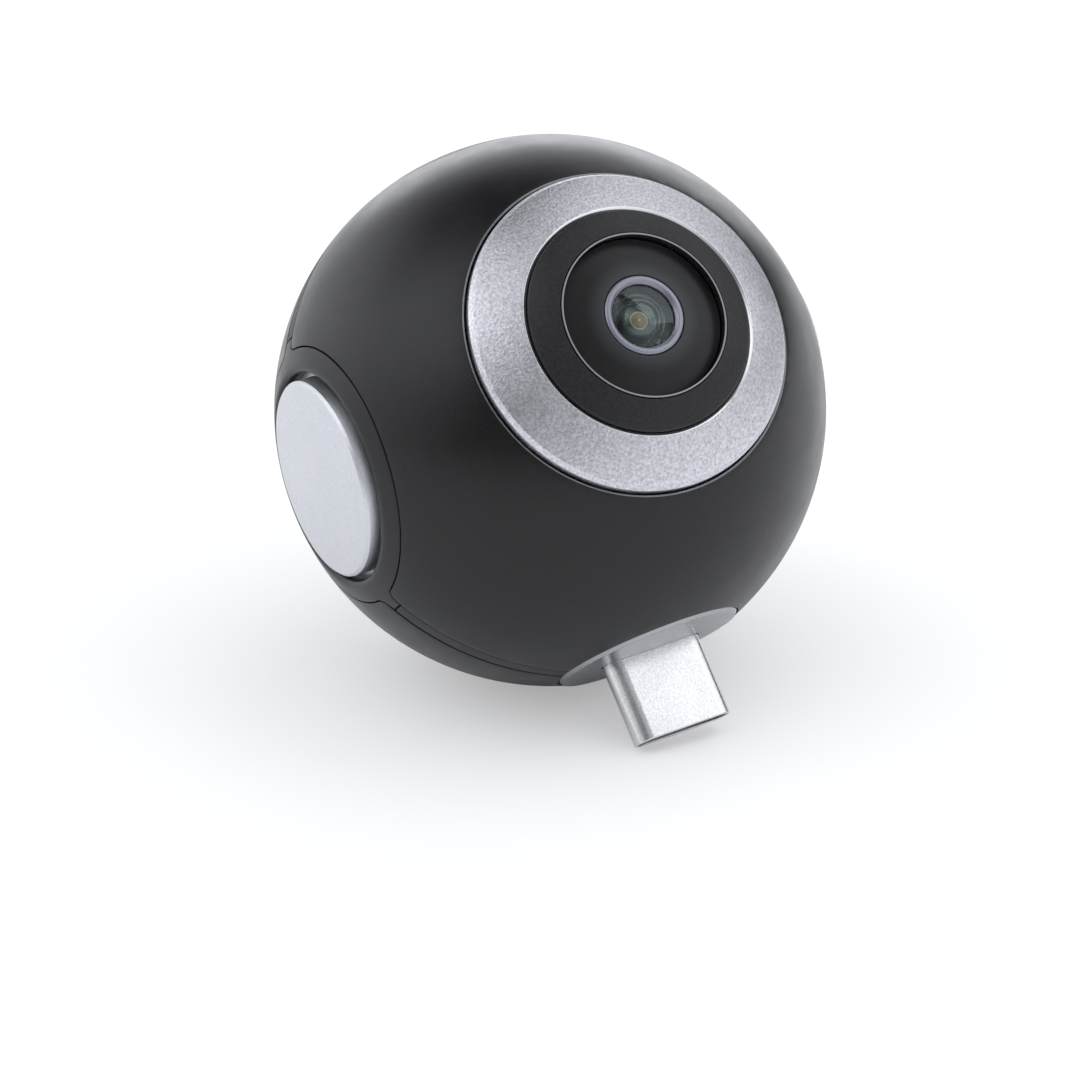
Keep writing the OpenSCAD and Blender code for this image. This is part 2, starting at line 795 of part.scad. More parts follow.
module fisheye_lens() {
    base_h = rim_h - retainer_t / 2;
    rise = dome_h + retainer_t / 2;
    dome_ball = (glass_r * glass_r + rise * rise) / (2 * rise);
    hollow_ball = 2.2;
    hollow_depth = 0.9;
    difference() {
        union() {
            rod(glass_flange_r, glass_bottom, barrel_top);
            intersection() {
                rod(glass_r, glass_bottom, rim_h + dome_h + cut);
                union() {
                    rod(glass_r, glass_bottom, base_h);
                    translate([0, 0, base_h + rise - dome_ball]) sphere(dome_ball);
                }
            }
        }
        translate([0, 0, glass_bottom + hollow_depth - hollow_ball]) sphere(hollow_ball);
    }
}

module middle_lens() {
    side_h = 1.2;
    crown = 0.6;
    crown_ball = (middle_r * middle_r + crown * crown) / (2 * crown);
    intersection() {
        rod(middle_r, middle_floor, middle_floor + side_h + crown);
        translate([0, 0, middle_floor + side_h + crown - crown_ball]) sphere(crown_ball);
    }
}

module rear_lens() {
    roof_h = middle_floor - stop_t;
    glass_h = 1.8;
    crown_ball = 4;
    intersection() {
        rod(rear_glass_r, roof_h - glass_h, roof_h);
        translate([0, 0, roof_h - glass_h + crown_ball]) sphere(crown_ball);
    }
}

module lens_holder() difference() {
    block(holder_w, holder_w, sensor_board_top, holder_top);
    rod(barrel_r + fit, barrel_bottom, holder_top + cut);
    rod(filter_w / 2 - filter_seat, sensor_board_top, holder_top);
    block(filter_w + 2 * fit, filter_w + 2 * fit, sensor_board_top, filter_h + filter_t);
    block(chamber_w, chamber_w, sensor_board_top - cut, filter_h);
}

module ir_filter() block(filter_w, filter_w, filter_h, filter_h + filter_t);

module image_sensor() block(sensor_w, sensor_w, sensor_board_top, sensor_board_top + sensor_t);

module sensor_board() block(sensor_board_w, sensor_board_w, sensor_board_back, sensor_board_top);

// Flex cable: two flat runs on the connectors, joined by a round bend
module sensor_flex() {
    upper = sensor_board_back - connector_h - flex_t / 2;
    lower = board_face + connector_h + flex_t / 2;
    bend_r = (upper - lower) / 2;
    translate([-flex_w / 2, 0, 0]) rotate([90, 0, 90]) linear_extrude(height = flex_w)
        translate([connector_y, lower + bend_r]) {
            for (side = [-1, 1]) translate([-flex_run / 2, side * bend_r - flex_t / 2])
                square([flex_run, flex_t]);
            translate([flex_run / 2, 0]) difference() {
                circle(r = bend_r + flex_t / 2);
                circle(r = bend_r - flex_t / 2);
                translate([-2 * ball_r, -ball_r]) square(2 * ball_r);
            }
        }
}

module front_lens_ring() color(silver) front_axis() lens_ring();
module front_lens_surround() color(inner_black) front_axis() lens_surround();
module front_accent_ring() color(steel) front_axis() accent_ring();
module front_lens_well() color(inner_black) front_axis() lens_well();
module front_lens_barrel() color(inner_black) front_axis() lens_barrel();
module front_lens_retainer() color(rim_grey) front_axis() lens_retainer();
module front_fisheye_lens() color(glass_tint) front_axis() fisheye_lens();
module front_middle_lens() color(glass_tint) front_axis() middle_lens();
module front_rear_lens() color(glass_tint) front_axis() rear_lens();
module front_lens_holder() color(inner_black) front_axis() lens_holder();
module front_ir_filter() color(glass_tint) front_axis() ir_filter();
module front_image_sensor() color(chip_black) front_axis() image_sensor();
module front_sensor_board() color(board_green) front_axis() sensor_board();
module front_sensor_flex() color(flex_amber) front_axis() sensor_flex();

module rear_lens_ring() color(silver) rear_axis() lens_ring();
module rear_lens_surround() color(inner_black) rear_axis() lens_surround();
module rear_accent_ring() color(steel) rear_axis() accent_ring();
module rear_lens_well() color(inner_black) rear_axis() lens_well();
module rear_lens_barrel() color(inner_black) rear_axis() lens_barrel();
module rear_lens_retainer() color(rim_grey) rear_axis() lens_retainer();
module rear_fisheye_lens() color(glass_tint) rear_axis() fisheye_lens();
module rear_middle_lens() color(glass_tint) rear_axis() middle_lens();
module rear_rear_lens() color(glass_tint) rear_axis() rear_lens();
module rear_lens_holder() color(inner_black) rear_axis() lens_holder();
module rear_ir_filter() color(glass_tint) rear_axis() ir_filter();
module rear_image_sensor() color(chip_black) rear_axis() image_sensor();
module rear_sensor_board() color(board_green) rear_axis() sensor_board();
module rear_sensor_flex() color(flex_amber) rear_axis() sensor_flex();

front_shell();
rear_shell();
mid_frame();
button_bezel();
shutter_button();
button_bracket();
bracket_screws();
switch_board();
tact_switch();
switch_dome();
switch_plunger();
side_bezel();
side_plate();
top_cap();
plug_plate();
usb_plug_shell();
usb_plug_insulator();
usb_plug_contacts();
usb_plug_latches();
main_board();
image_processor();
thermal_pad();
shield_can();
memory_chip();
power_chips();
board_capacitors();
flex_connectors();
front_shell_screws();
rear_shell_screws();
board_screws();
front_lens_ring();
front_lens_surround();
front_accent_ring();
front_lens_well();
front_lens_barrel();
front_lens_retainer();
front_fisheye_lens();
front_middle_lens();
front_rear_lens();
front_lens_holder();
front_ir_filter();
front_image_sensor();
front_sensor_board();
front_sensor_flex();
rear_lens_ring();
rear_lens_surround();
rear_accent_ring();
rear_lens_well();
rear_lens_barrel();
rear_lens_retainer();
rear_fisheye_lens();
rear_middle_lens();
rear_rear_lens();
rear_lens_holder();
rear_ir_filter();
rear_image_sensor();
rear_sensor_board();
rear_sensor_flex();
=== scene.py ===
"""Looks of a ball-shaped 360 degree camera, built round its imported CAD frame."""

import json
import math

import bmesh
import bpy
from bpy.props import FloatProperty, FloatVectorProperty, IntProperty, PointerProperty
from bpy.types import Operator, Panel, PropertyGroup
from mathutils import Matrix, Vector
from mathutils.geometry import delaunay_2d_cdt
from mathutils.kdtree import KDTree


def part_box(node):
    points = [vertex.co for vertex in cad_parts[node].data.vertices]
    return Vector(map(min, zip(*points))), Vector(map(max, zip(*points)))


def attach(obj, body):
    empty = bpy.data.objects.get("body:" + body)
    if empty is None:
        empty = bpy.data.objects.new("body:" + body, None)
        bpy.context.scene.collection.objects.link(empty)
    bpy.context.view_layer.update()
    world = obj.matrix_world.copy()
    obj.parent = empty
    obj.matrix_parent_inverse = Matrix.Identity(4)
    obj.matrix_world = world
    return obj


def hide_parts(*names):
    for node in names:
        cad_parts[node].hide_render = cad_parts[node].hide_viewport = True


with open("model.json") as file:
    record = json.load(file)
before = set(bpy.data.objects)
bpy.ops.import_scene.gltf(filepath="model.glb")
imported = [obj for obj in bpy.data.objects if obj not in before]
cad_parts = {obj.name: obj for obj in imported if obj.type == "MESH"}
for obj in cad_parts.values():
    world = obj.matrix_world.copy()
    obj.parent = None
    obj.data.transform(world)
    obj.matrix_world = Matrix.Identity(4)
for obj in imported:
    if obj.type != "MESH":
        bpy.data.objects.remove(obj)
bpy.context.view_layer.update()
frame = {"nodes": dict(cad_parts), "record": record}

bl_info = {
    "name": "Ball camera looks",
    "version": (1, 0, 0),
    "blender": (4, 5, 0),
    "location": "View3D > Sidebar > Ball camera",
    "description": "Shells, lenses, button and plug of a ball-shaped 360 degree camera, with their finishes",
    "category": "Object",
}

RECORD = frame["record"]
BODY_OF = {node: body for body, nodes in RECORD["behaviour"]["bodies"].items() for node in nodes}
SLOT_OF = {row["node"]: row["material_slot"] for row in RECORD["subparts"]}
RECORD_COLOUR = {row["slot"]: row["base_color"] for row in RECORD["materials"]}
RECORD_CLASS = {row["slot"]: row["class"] for row in RECORD["materials"]}
METALS = ("aluminium", "steel", "brass", "gold", "copper")

# Shapes of an edge, as shares of its width along the face and down the wall
ROUND_EDGE = [(1, 0), (0.5625, 0.0625), (0.25, 0.25), (0.0625, 0.5625), (0, 1)]
BEVEL_EDGE = [(1.08, 0), (0.97, 0.03), (0.88, 0.12), (0.12, 0.88), (0.03, 0.97), (0, 1.08)]

# Fineness of the meshes: distances in metres, and steps along arcs, rounds and turns
OUTLINE_STEP = 0.00035
WELD_DISTANCE = 0.0000015
CHART_WELD = 1e-7
ARC_STEPS = 24
DOME_STEPS = 32
DISH_STEPS = 16
FILLET_STEPS = 8
BAR_END_STEPS = 16
BAR_SIDE_STEPS = 24
ROUND_STEPS = 3
TURN_STEPS = 240
RING_TURN_STEPS = 288
LENS_TURN_STEPS = 192
PLUG_TURN_STEPS = 24
FLOOR_SIDES = 96

# Small round on the corners of turned pieces
EDGE_ROUND = 0.00003
# Least number that a mitre at a sharp corner of an outline is divided by
MITRE_LIMIT = 0.3
# Share of a square with the points' distance as its side that each point of an even spread takes
SPREAD_SHARE = 0.866
# Grains in one broad patch of gloss
PATCH_GRAINS = 18

# Camera: where it stands, its axes and its lens in millimetres
CAMERA_PLACE = Vector((-0.12446, -0.26193, -0.03801))
CAMERA_RIGHT = Vector((0.8681, -0.3246, -0.3756))
CAMERA_UP = Vector((0.2814, -0.3016, 0.9110))
CAMERA_BACK = -Vector((0.4090, 0.8965, 0.1705))
CAMERA_LENS, CAMERA_SENSOR = 128.1, 36.0
CAMERA_NEAR, CAMERA_FAR = 0.01, 50.0

# Way up from the floor that the ball rests on
FLOOR_NORMAL = Vector((0.082, -0.652, 0.7535))

# Light panels in the camera's axes (right, up and towards it): middle, side, facing, and size in metres
SOFTBOX = ((0.2051, 0.30765, -0.00175), (0.997, -1.03, 0.42), (-0.625, -0.724, -0.291), (0.5215, 0.441))
BACK_PANEL = ((0.035, 0.4025, -0.735), (1, 0, 0.05), (-0.05, -0.48, 0.88), (0.77, 0.315))

# Bright sides of the studio: direction in the camera's axes and brightness
BRIGHT_SIDES = (
    ((0.99, 0.09, 0.04), 0.3), ((0.86, -0.12, 0.49), 0.46), ((0.50, -0.27, 0.82), 0.3),
    ((0.0, -0.33, 0.95), 0.25), ((-0.86, -0.12, 0.49), 0.29), ((-0.99, 0.09, 0.04), 0.34),
    ((-0.86, 0.30, -0.41), 0.92), ((-0.50, 0.46, -0.74), 0.34), ((0.0, 0.52, -0.86), 1.2),
    ((0.83, 0.33, 0.45), 0.26), ((0.52, 0.14, 0.84), 0.24), ((-0.83, 0.32, 0.45), 0.7),
    ((-0.83, 0.55, -0.04), 0.5), ((0.59, 0.73, 0.34), 0.18), ((0.37, 0.54, 0.76), 0.24),
    ((-0.13, 0.49, 0.86), 0.14), ((-0.53, 0.63, 0.57), 1.1), ((0.15, 0.86, 0.49), 0.18),
)
# Angles from a bright side's middle where it starts to fade and where it ends
SIDE_CORE, SIDE_END = math.radians(4), math.radians(39)


# Sizes and settings

def span(node, axis):
    """Lowest and highest place of a CAD node along one axis."""
    low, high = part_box(node)
    return low[axis], high[axis]


def width(node, axis):
    low, high = span(node, axis)
    return high - low


def heights(node):
    """Lowest and highest place of a front lens node, measured out from the ball's centre."""
    low, high = span(node, 1)
    return -high, -low


def centre_height():
    """Height of the ball's centre, which the lens ring lies round."""
    return sum(span("front_lens_ring", 2)) / 2


def length(name, description, default):
    return FloatProperty(name=name, description=description, default=default, unit="LENGTH", precision=5)


def tint(name, description, default):
    limits = {"subtype": "COLOR", "min": 0, "max": 1}
    return FloatVectorProperty(name=name, description=description, default=default, **limits)


def level(name, description, default):
    return FloatProperty(name=name, description=description, default=default, min=0)


class BallSizes(PropertyGroup):
    radius: length("Ball radius", "Outer face of the two shells", centre_height())
    wall: length("Shell wall", "Thickness of the shells", 0.0016)
    seam: length("Seam place", "Middle of the strip between the shells", sum(span("button_bezel", 1)) / 2)
    strip: length("Strip width", "Frame strip that shows between the shells", 0.0012)
    strip_depth: length("Strip depth", "Depth of that strip", 0.00176)
    line_gap: length("Front line", "Gap between the front shell and the strip", 0.00006)
    seam_gap: length("Seam gap", "Gap between the strip and the rear shell", 0.0002)
    joint_gap: length("Joint gap", "Gap round the bezels, the cap and the plate", 0.0001)
    band: length("Band width", "Band of the frame that closes the seams from behind", 0.006)
    band_wall: length("Band thickness", "Thickness of that band", 0.0012)
    band_gap: length("Band gap", "Gap between the shells and the band", 0.00005)
    flange: length("Flange room", "Room in the band for the bezels', cap's and plate's flanges", 0.0012)
    edge: length("Edge round", "Small round on the shells' edges", 0.00007)
    cap_radius: length("Cap radius", "Round cap on top", 0.0074)
    cap_face: length("Cap face", "Ball radius of the cap's face", span("top_cap", 2)[1] - centre_height())
    cap_depth: length("Cap depth", "Depth of the cap's side under the ball's face", 0.0024)
    spacing: length("Mesh spacing", "Distance between points on the ball's faces", 0.0007)


class LensSizes(PropertyGroup):
    ring_radius: length("Ring radius", "Silver ring, outside", width("front_lens_ring", 0) / 2)
    ring_low: length("Ring underside", "Underside of the silver ring", heights("front_lens_ring")[0])
    ring_proud: length("Ring stand", "How far the ring's face stands over the ball", 0.0004)
    ring_gap: length("Ring gap", "Gap between the ring and the shell", 0.00015)
    ring_bevel: length("Ring bevel", "Bevel on the ring's two edges", 0.00025)
    opening_bevel: length("Opening bevel", "Bevel on the edge of the shell's opening", 0.000175)
    fit: length("Fit", "Gap between pieces that are set into each other", 0.00005)
    surround_radius: length("Surround radius", "Black ring, outside", width("front_lens_surround", 0) / 2)
    surround_round: length("Surround round", "Round on the black ring's outer edge", 0.0002)
    surround_lip: length("Surround lip", "Round on the black ring's inner edge", 0.00006)
    shoulder: length("Shoulder", "Seat of the black and bright rings", heights("front_lens_surround")[0])
    accent_radius: length("Bright line radius", "Bright ring, outside", width("front_accent_ring", 0) / 2)
    accent_width: length("Bright line width", "Width of the thin bright ring", 0.00014)
    accent_high: length("Bright line top", "Top of the thin bright ring", heights("front_accent_ring")[1])
    dish_high: length("Dish top", "Height of the dish beside the glass", heights("front_lens_well")[1])
    dish_round: length("Dish round", "Round on the dish's two edges", 0.00005)
    # The paler middle of the dish is a painted highlight: paler colour stands in for light caught by the dish
    # beside the glass.
    painted_sheen: length("Halo radius", "Where the paler middle of the dish starts to fade", 0.0031)
    painted_sheen_end: length("Halo end", "Where it has faded out", 0.0046)
    well_wall: length("Well wall", "Wall of the lens well", 0.0012)
    well_low: length("Well foot", "Foot of the well's collar", heights("front_lens_well")[0])
    seat: length("Well seat", "Underside of the well's flange", 0.01514)
    barrel_radius: length("Barrel radius", "Lens barrel, outside", width("front_lens_barrel", 0) / 2)
    barrel_low: length("Barrel foot", "Inner end of the barrel", heights("front_lens_barrel")[0])
    stop_radius: length("Stop radius", "Opening of the stop in the barrel", 0.0012)
    rim_low: length("Rim underside", "Ring that holds the glass, foot", heights("front_lens_retainer")[0])
    rim_high: length("Rim top", "Ring that holds the glass, top", heights("front_lens_retainer")[1])
    rim_round: length("Rim round", "Round on that ring's outer edge", 0.0002)
    rim_lip: length("Rim lip", "Round on that ring's inner edge", 0.00012)
    glass_radius: length("Glass radius", "Domed front glass", 0.00238)
    glass_flange: length("Glass flange", "Flange of the front glass", width("front_fisheye_lens", 0) / 2)
    glass_low: length("Glass underside", "Underside of the front glass", heights("front_fisheye_lens")[0])
    glass_high: length("Glass top", "Top of the dome", heights("front_fisheye_lens")[1])
    hollow_ball: length("Hollow ball", "Ball radius of the glass's hollow underside", 0.0022)
    hollow_depth: length("Hollow depth", "Depth of the hollow", 0.0009)
    middle_radius: length("Middle glass radius", "Second glass", width("front_middle_lens", 0) / 2)
    middle_low: length("Middle glass foot", "Foot of the second glass", heights("front_middle_lens")[0])
    middle_high: length("Middle glass top", "Top of the second glass", heights("front_middle_lens")[1])
    middle_crown: length("Middle glass crown", "Rise of the second glass's face", 0.0006)
    rear_radius: length("Rear glass radius", "Third glass", width("front_rear_lens", 0) / 2)
    rear_low: length("Rear glass foot", "Foot of the third glass", heights("front_rear_lens")[0])
    rear_high: length("Rear glass top", "Top of the third glass", heights("front_rear_lens")[1])
    rear_ball: length("Rear glass ball", "Ball radius of the third glass's underside", 0.004)


class ButtonSizes(PropertyGroup):
    radius: length("Button radius", "Silver face of the button", width("side_plate", 2) / 2)
    apex: length("Button top", "Highest point of its crowned face", -span("shutter_button", 0)[0])
    foot: length("Button foot", "Inner end of the button's nub", -span("shutter_button", 0)[1])
    crown: length("Crown", "Rise of the face", 0.0003)
    bevel: length("Button bevel", "Bevel of the face's rim", 0.0002)
    bevel_round: length("Bevel round", "Round on the bevel's two edges", 0.00004)
    side: length("Button side", "Height of the button's side over its flange", 0.0016)
    thickness: length("Face thickness", "Thickness of the button's face", 0.0011)
    flange_radius: length("Flange radius", "Flange that keeps the button in", width("shutter_button", 2) / 2)
    flange: length("Flange thickness", "Thickness of that flange", 0.0006)
    nub_radius: length("Nub radius", "Nub that meets the switch", 0.0016)
    run_gap: length("Run gap", "Room above the flange", 0.00005)
    side_floor: length("Side disc foot", "Underside of the fixed disc", span("side_plate", 0)[0])
    web: length("Side web", "Floor of the side bezel, under the fixed disc", 0.0009)
    gap: length("Button gap", "Gap between the button and its bezel", 0.00045)
    bezel: length("Bezel width", "Width of the bezel's ring", 0.00185)
    bezel_spacing: length("Bezel mesh spacing", "Distance between points on the bezel's face", 0.0005)
    lip: length("Bezel lip", "Width of the round on the bezel's bore", 0.00075)
    ear_fillet: length("Ear fillet", "Round between the bezel and its ears", 0.001)
    ear_tail: length("Ear tail", "Straight end of an ear", 0.0002)


class PlugSizes(PropertyGroup):
    plate_radius: length("Plate radius", "Silver plate under the ball", 0.0073)
    plate_high: length(
        "Plate top", "Height of the plate's middle, out from the ball's centre",
        centre_height() - span("plug_plate", 2)[0],
    )
    plate_crown: length("Plate crown", "Rise of the plate's face from its rim to its middle", 0.00025)
    plate_thickness: length("Plate thickness", "Thickness of the plate", 0.0012)
    plate_bevel: length("Plate bevel", "Bevel of the plate's rim", 0.00025)
    plate_spacing: length("Plate mesh spacing", "Distance between points on the plate's face", 0.0004)
    slot_gap: length("Slot gap", "Gap between the plate and the plug", 0.00012)
    slot_round: length("Slot round", "Round on the edge of the plate's slot", 0.00005)
    width: length("Plug width", "Steel shell of the plug", width("usb_plug_shell", 0))
    depth: length("Plug depth", "Depth of the steel shell", width("usb_plug_shell", 1))
    wall: length("Plug wall", "Wall of the steel shell", 0.00025)
    low: length("Plug tip", "Height of the plug's tip", span("usb_plug_shell", 2)[0])
    high: length("Plug rear", "Height of the plug's inner end", span("usb_plug_shell", 2)[1])
    tip_round: length("Tip round", "Round on the tip's outer edge", 0.00011)
    tip_lip: length("Tip lip", "Round on the tip's inner edge", 0.00008)
    contact_count: IntProperty(name="Contacts", description="Contacts in a row", default=12, min=1)
    contact_pitch: length("Contact pitch", "Distance between contacts", 0.0005)
    contact_width: length("Contact width", "Width of a contact", 0.00025)
    contact_depth: length("Contact thickness", "Thickness of a contact", 0.00015)
    contact_round: length("Contact round", "Round on a contact's edges", 0.00004)


class FinishColours(PropertyGroup):
    shell: tint("Shell black", "Satin plastic of the shells", (0.006, 0.006, 0.0066))
    # The grey metal colour on the shell's black plastic lip is a painted highlight.
    shell_lip_highlight: tint("Shell edge", "Bright bevel on the shell's opening", (0.30, 0.30, 0.31))
    bezel: tint("Bezel black", "Smooth plastic of the bezels and the cap", (0.006, 0.006, 0.0065))
    button: tint("Button silver", "Blasted face of the button", (0.61, 0.62, 0.65))
    ring: tint("Ring silver", "Blasted face of the lens rings", (0.58, 0.585, 0.62))
    ring_edge: tint("Ring edge", "Bright bevel round the ring's bore", (0.92, 0.92, 0.94))
    surround: tint("Surround black", "Textured ring inside the silver one", (0.008, 0.008, 0.009))
    accent: tint("Bright line", "Thin bright ring", (0.24, 0.24, 0.25))
    well: tint("Dish black", "Dish round the glass", (0.004, 0.004, 0.0045))
    # Painted highlight: paler colour in the dish's middle stands in for light caught beside the glass.
    painted_sheen: tint("Dish halo", "Paler middle of the dish", (0.024, 0.025, 0.028))
    barrel: tint("Barrel black", "Lens barrel", (0.006, 0.006, 0.0065))
    rim: tint("Rim grey", "Ring round the front glass", (0.27, 0.27, 0.32))
    glass: tint("Glass", "Colour that the front glass lets through", (0.96, 1.0, 0.98))
    coating: tint("Glass coating", "Colour that the front glass mirrors", (0.84, 1.0, 1.0))
    pupil: tint("Pupil amber", "Middle of the second glass", (0.34, 0.26, 0.12))
    plate: tint("Plate silver", "Plate under the ball", (0.37, 0.375, 0.39))
    steel: tint("Plug steel", "Shell of the plug", (0.72, 0.72, 0.73))


class StageSettings(PropertyGroup):
    fill: level("Fill", "Even light from all round for the floor and the matt faces", 0.5)
    key: level("Key", "Brightness of the overhead softbox", 1.0)
    back: level("Back", "Brightness of the panel behind", 1.6)
    floor_glow: level("Floor white", "Share of the floor that stays white in the shadow", 0.35)
    floor_colour: tint("Floor", "Plain pale floor", (0.9, 0.9, 0.9))
    floor_radius: length("Floor radius", "Round floor", 2.0)
    light_colour: tint("Light", "Colour of the studio light", (0.95, 0.965, 1.0))


def settings(group):
    return getattr(bpy.context.scene, group)


def sphere_height(radius, reach):
    return math.sqrt(radius * radius - reach * reach)


def crown_ball(reach, rise):
    """Radius of the ball that a crowned face follows."""
    return (reach ** 2 + rise ** 2) / (2 * rise)


def ball_centre():
    return Vector((0, 0, settings("ball_sizes").radius))


def axis(name):
    """Own frame of a group of pieces; its Z points out of the ball."""
    ball = settings("ball_sizes")
    centre = Matrix.Translation((0, 0, ball.radius))
    let_in = Matrix.Translation((0, ball.seam, ball.radius))

    def turn(angle, about):
        return Matrix.Rotation(math.radians(angle), 4, about)

    return {
        "front": centre @ turn(90, "X"),
        "rear": centre @ turn(180, "Z") @ turn(90, "X"),
        "button": let_in @ turn(-90, "Y"),
        "side": let_in @ turn(90, "Y"),
        "top": let_in,
        "plug": centre @ turn(180, "X"),
    }[name]


# Nodes

def add(tree, kind, inputs=None, **options):
    """Adds a shader or geometry node; an input takes a value or another node's output."""
    made = tree.nodes.new(kind)
    for key, value in options.items():
        setattr(made, key, value)
    for key, value in (inputs or {}).items():
        if isinstance(value, bpy.types.NodeSocket):
            tree.links.new(value, made.inputs[key])
        else:
            made.inputs[key].default_value = value
    return made


def worked_out(tree, operation, first, second):
    """Output of a math node with two inputs."""
    return add(tree, "ShaderNodeMath", {0: first, 1: second}, operation=operation).outputs["Value"]


def mapped(tree, value, given, wanted=(0.0, 1.0), **options):
    """Output of a value that is carried from one range to another."""
    limits = {"From Min": given[0], "From Max": given[1], "To Min": wanted[0], "To Max": wanted[1]}
    return add(tree, "ShaderNodeMapRange", {"Value": value, **limits}, **options).outputs["Result"]


def mixed_colour(tree, share, first, second):
    """Output of two colours mixed by a share."""
    return add(tree, "ShaderNodeMix", {0: share, 6: first, 7: second}, data_type="RGBA").outputs[2]


def noise(tree, place, scale, detail, rough=0.5):
    inputs = {"Vector": place, "Scale": scale, "Detail": detail, "Roughness": rough}
    return add(tree, "ShaderNodeTexNoise", inputs).outputs["Fac"]


def new_group(name, inputs, output):
    """Geometry node group with named inputs and one geometry output."""
    tree = bpy.data.node_groups.new(name, "GeometryNodeTree")
    for label, kind in inputs:
        tree.interface.new_socket(label, in_out="INPUT", socket_type="NodeSocket" + kind)
    tree.interface.new_socket(output, in_out="OUTPUT", socket_type="NodeSocketGeometry")
    return tree, add(tree, "NodeGroupInput").outputs


def end_group(tree, geometry, material, output):
    """Ends a group with real, painted geometry."""
    real = add(tree, "GeometryNodeRealizeInstances", {"Geometry": geometry}).outputs["Geometry"]
    painted = add(tree, "GeometryNodeSetMaterial", {"Geometry": real, "Material": material})
    add(tree, "NodeGroupOutput", {output: painted.outputs["Geometry"]})


# Finishes

def rgba(colour, share=1.0):
    return tuple(min(1.0, c * share) for c in colour[:3]) + (1.0,)


def new_material(name):
    material = bpy.data.materials.new(name)
    material.use_nodes = True
    tree = material.node_tree
    tree.nodes.clear()
    shader = add(tree, "ShaderNodeBsdfPrincipled")
    add(tree, "ShaderNodeOutputMaterial", {"Surface": shader.outputs["BSDF"]})
    return material, tree, shader


def from_lens_axis(tree, place):
    """Distance from the axis that both lenses share."""
    to_axis = {"Vector": place, "Location": (0, 0, -settings("ball_sizes").radius), "Scale": (1, 0, 1)}
    flat = add(tree, "ShaderNodeMapping", to_axis).outputs["Vector"]
    return add(tree, "ShaderNodeVectorMath", {0: flat}, operation="LENGTH").outputs["Value"]


def grained(name, colour, spread, rough, grain, depth, metal=0.0, specular=0.5, edge=None, painted_sheen=None):
    """Finish with a fine grain: its colour, gloss and relief follow noise at the grain's scale.

    An edge of (colour, roughness, metal) is the finish of the marked edge faces: the ring's cut bright bevel,
    and the shell's lip, where the brighter metal colour is a painted highlight. The last tuple of (radius,
    radius, colour) is a
    painted highlight: a paler colour round the lens axis that fades from the first radius to the second.
    """
    material, tree, shader = new_material(name)
    place = add(tree, "ShaderNodeTexCoord").outputs["Object"]
    fine = noise(tree, place, scale=grain, detail=3.0, rough=0.6)
    broad = noise(tree, place, scale=grain / PATCH_GRAINS, detail=2.0)
    crisp = mapped(tree, fine, (0.32, 0.68))
    colours = mixed_colour(tree, crisp, rgba(colour, 1 - spread), rgba(colour, 1 + spread))
    gloss = mapped(tree, broad, (0.3, 0.7), rough)
    relief = add(tree, "ShaderNodeBump", {"Height": fine, "Strength": 1.0, "Distance": depth})
    shader.inputs["Metallic"].default_value = metal
    shader.inputs["Specular IOR Level"].default_value = specular
    # Painted highlight: paler colour round the lens axis stands in for light caught by the dish.
    if painted_sheen:
        start, end, painted_sheen_colour = painted_sheen
        reach = from_lens_axis(tree, place)
        painted_sheen_share = mapped(tree, reach, (start, end), (1.0, 0.0), interpolation_type="SMOOTHSTEP")
        colours = mixed_colour(tree, painted_sheen_share, colours, rgba(painted_sheen_colour))
    # The edge finish is the ring's real cut bevel, and a painted highlight on the shell's lip.
    if edge:
        edge_colour, edge_rough, edge_metal = edge
        cut = add(tree, "ShaderNodeAttribute", attribute_name="polish_and_highlight").outputs["Fac"]
        colours = mixed_colour(tree, cut, colours, rgba(edge_colour))
        gloss = add(tree, "ShaderNodeMix", {0: cut, 2: gloss, 3: edge_rough}).outputs[0]
        tree.links.new(worked_out(tree, "SUBTRACT", 1.0, cut), relief.inputs["Strength"])
        if edge_metal != metal:
            share = mapped(tree, cut, (0.0, 1.0), (metal, edge_metal))
            tree.links.new(share, shader.inputs["Metallic"])
    tree.links.new(colours, shader.inputs["Base Color"])
    tree.links.new(gloss, shader.inputs["Roughness"])
    tree.links.new(relief.outputs["Normal"], shader.inputs["Normal"])
    return material


def coated_glass(name):
    """Clear glass whose coating tints what it mirrors, with faint wipe marks in its gloss."""
    colours = settings("finish_colours")
    material, tree, shader = new_material(name)
    place = add(tree, "ShaderNodeTexCoord").outputs["Object"]
    smear = noise(tree, place, scale=900.0, detail=4.0)
    tree.links.new(mapped(tree, smear, (0.4, 0.8), (0.0, 0.012)), shader.inputs["Roughness"])
    shader.inputs["Base Color"].default_value = rgba(colours.glass)
    shader.inputs["Transmission Weight"].default_value = 1.0
    shader.inputs["IOR"].default_value = 1.65
    shader.inputs["Specular Tint"].default_value = rgba(colours.coating)
    return material


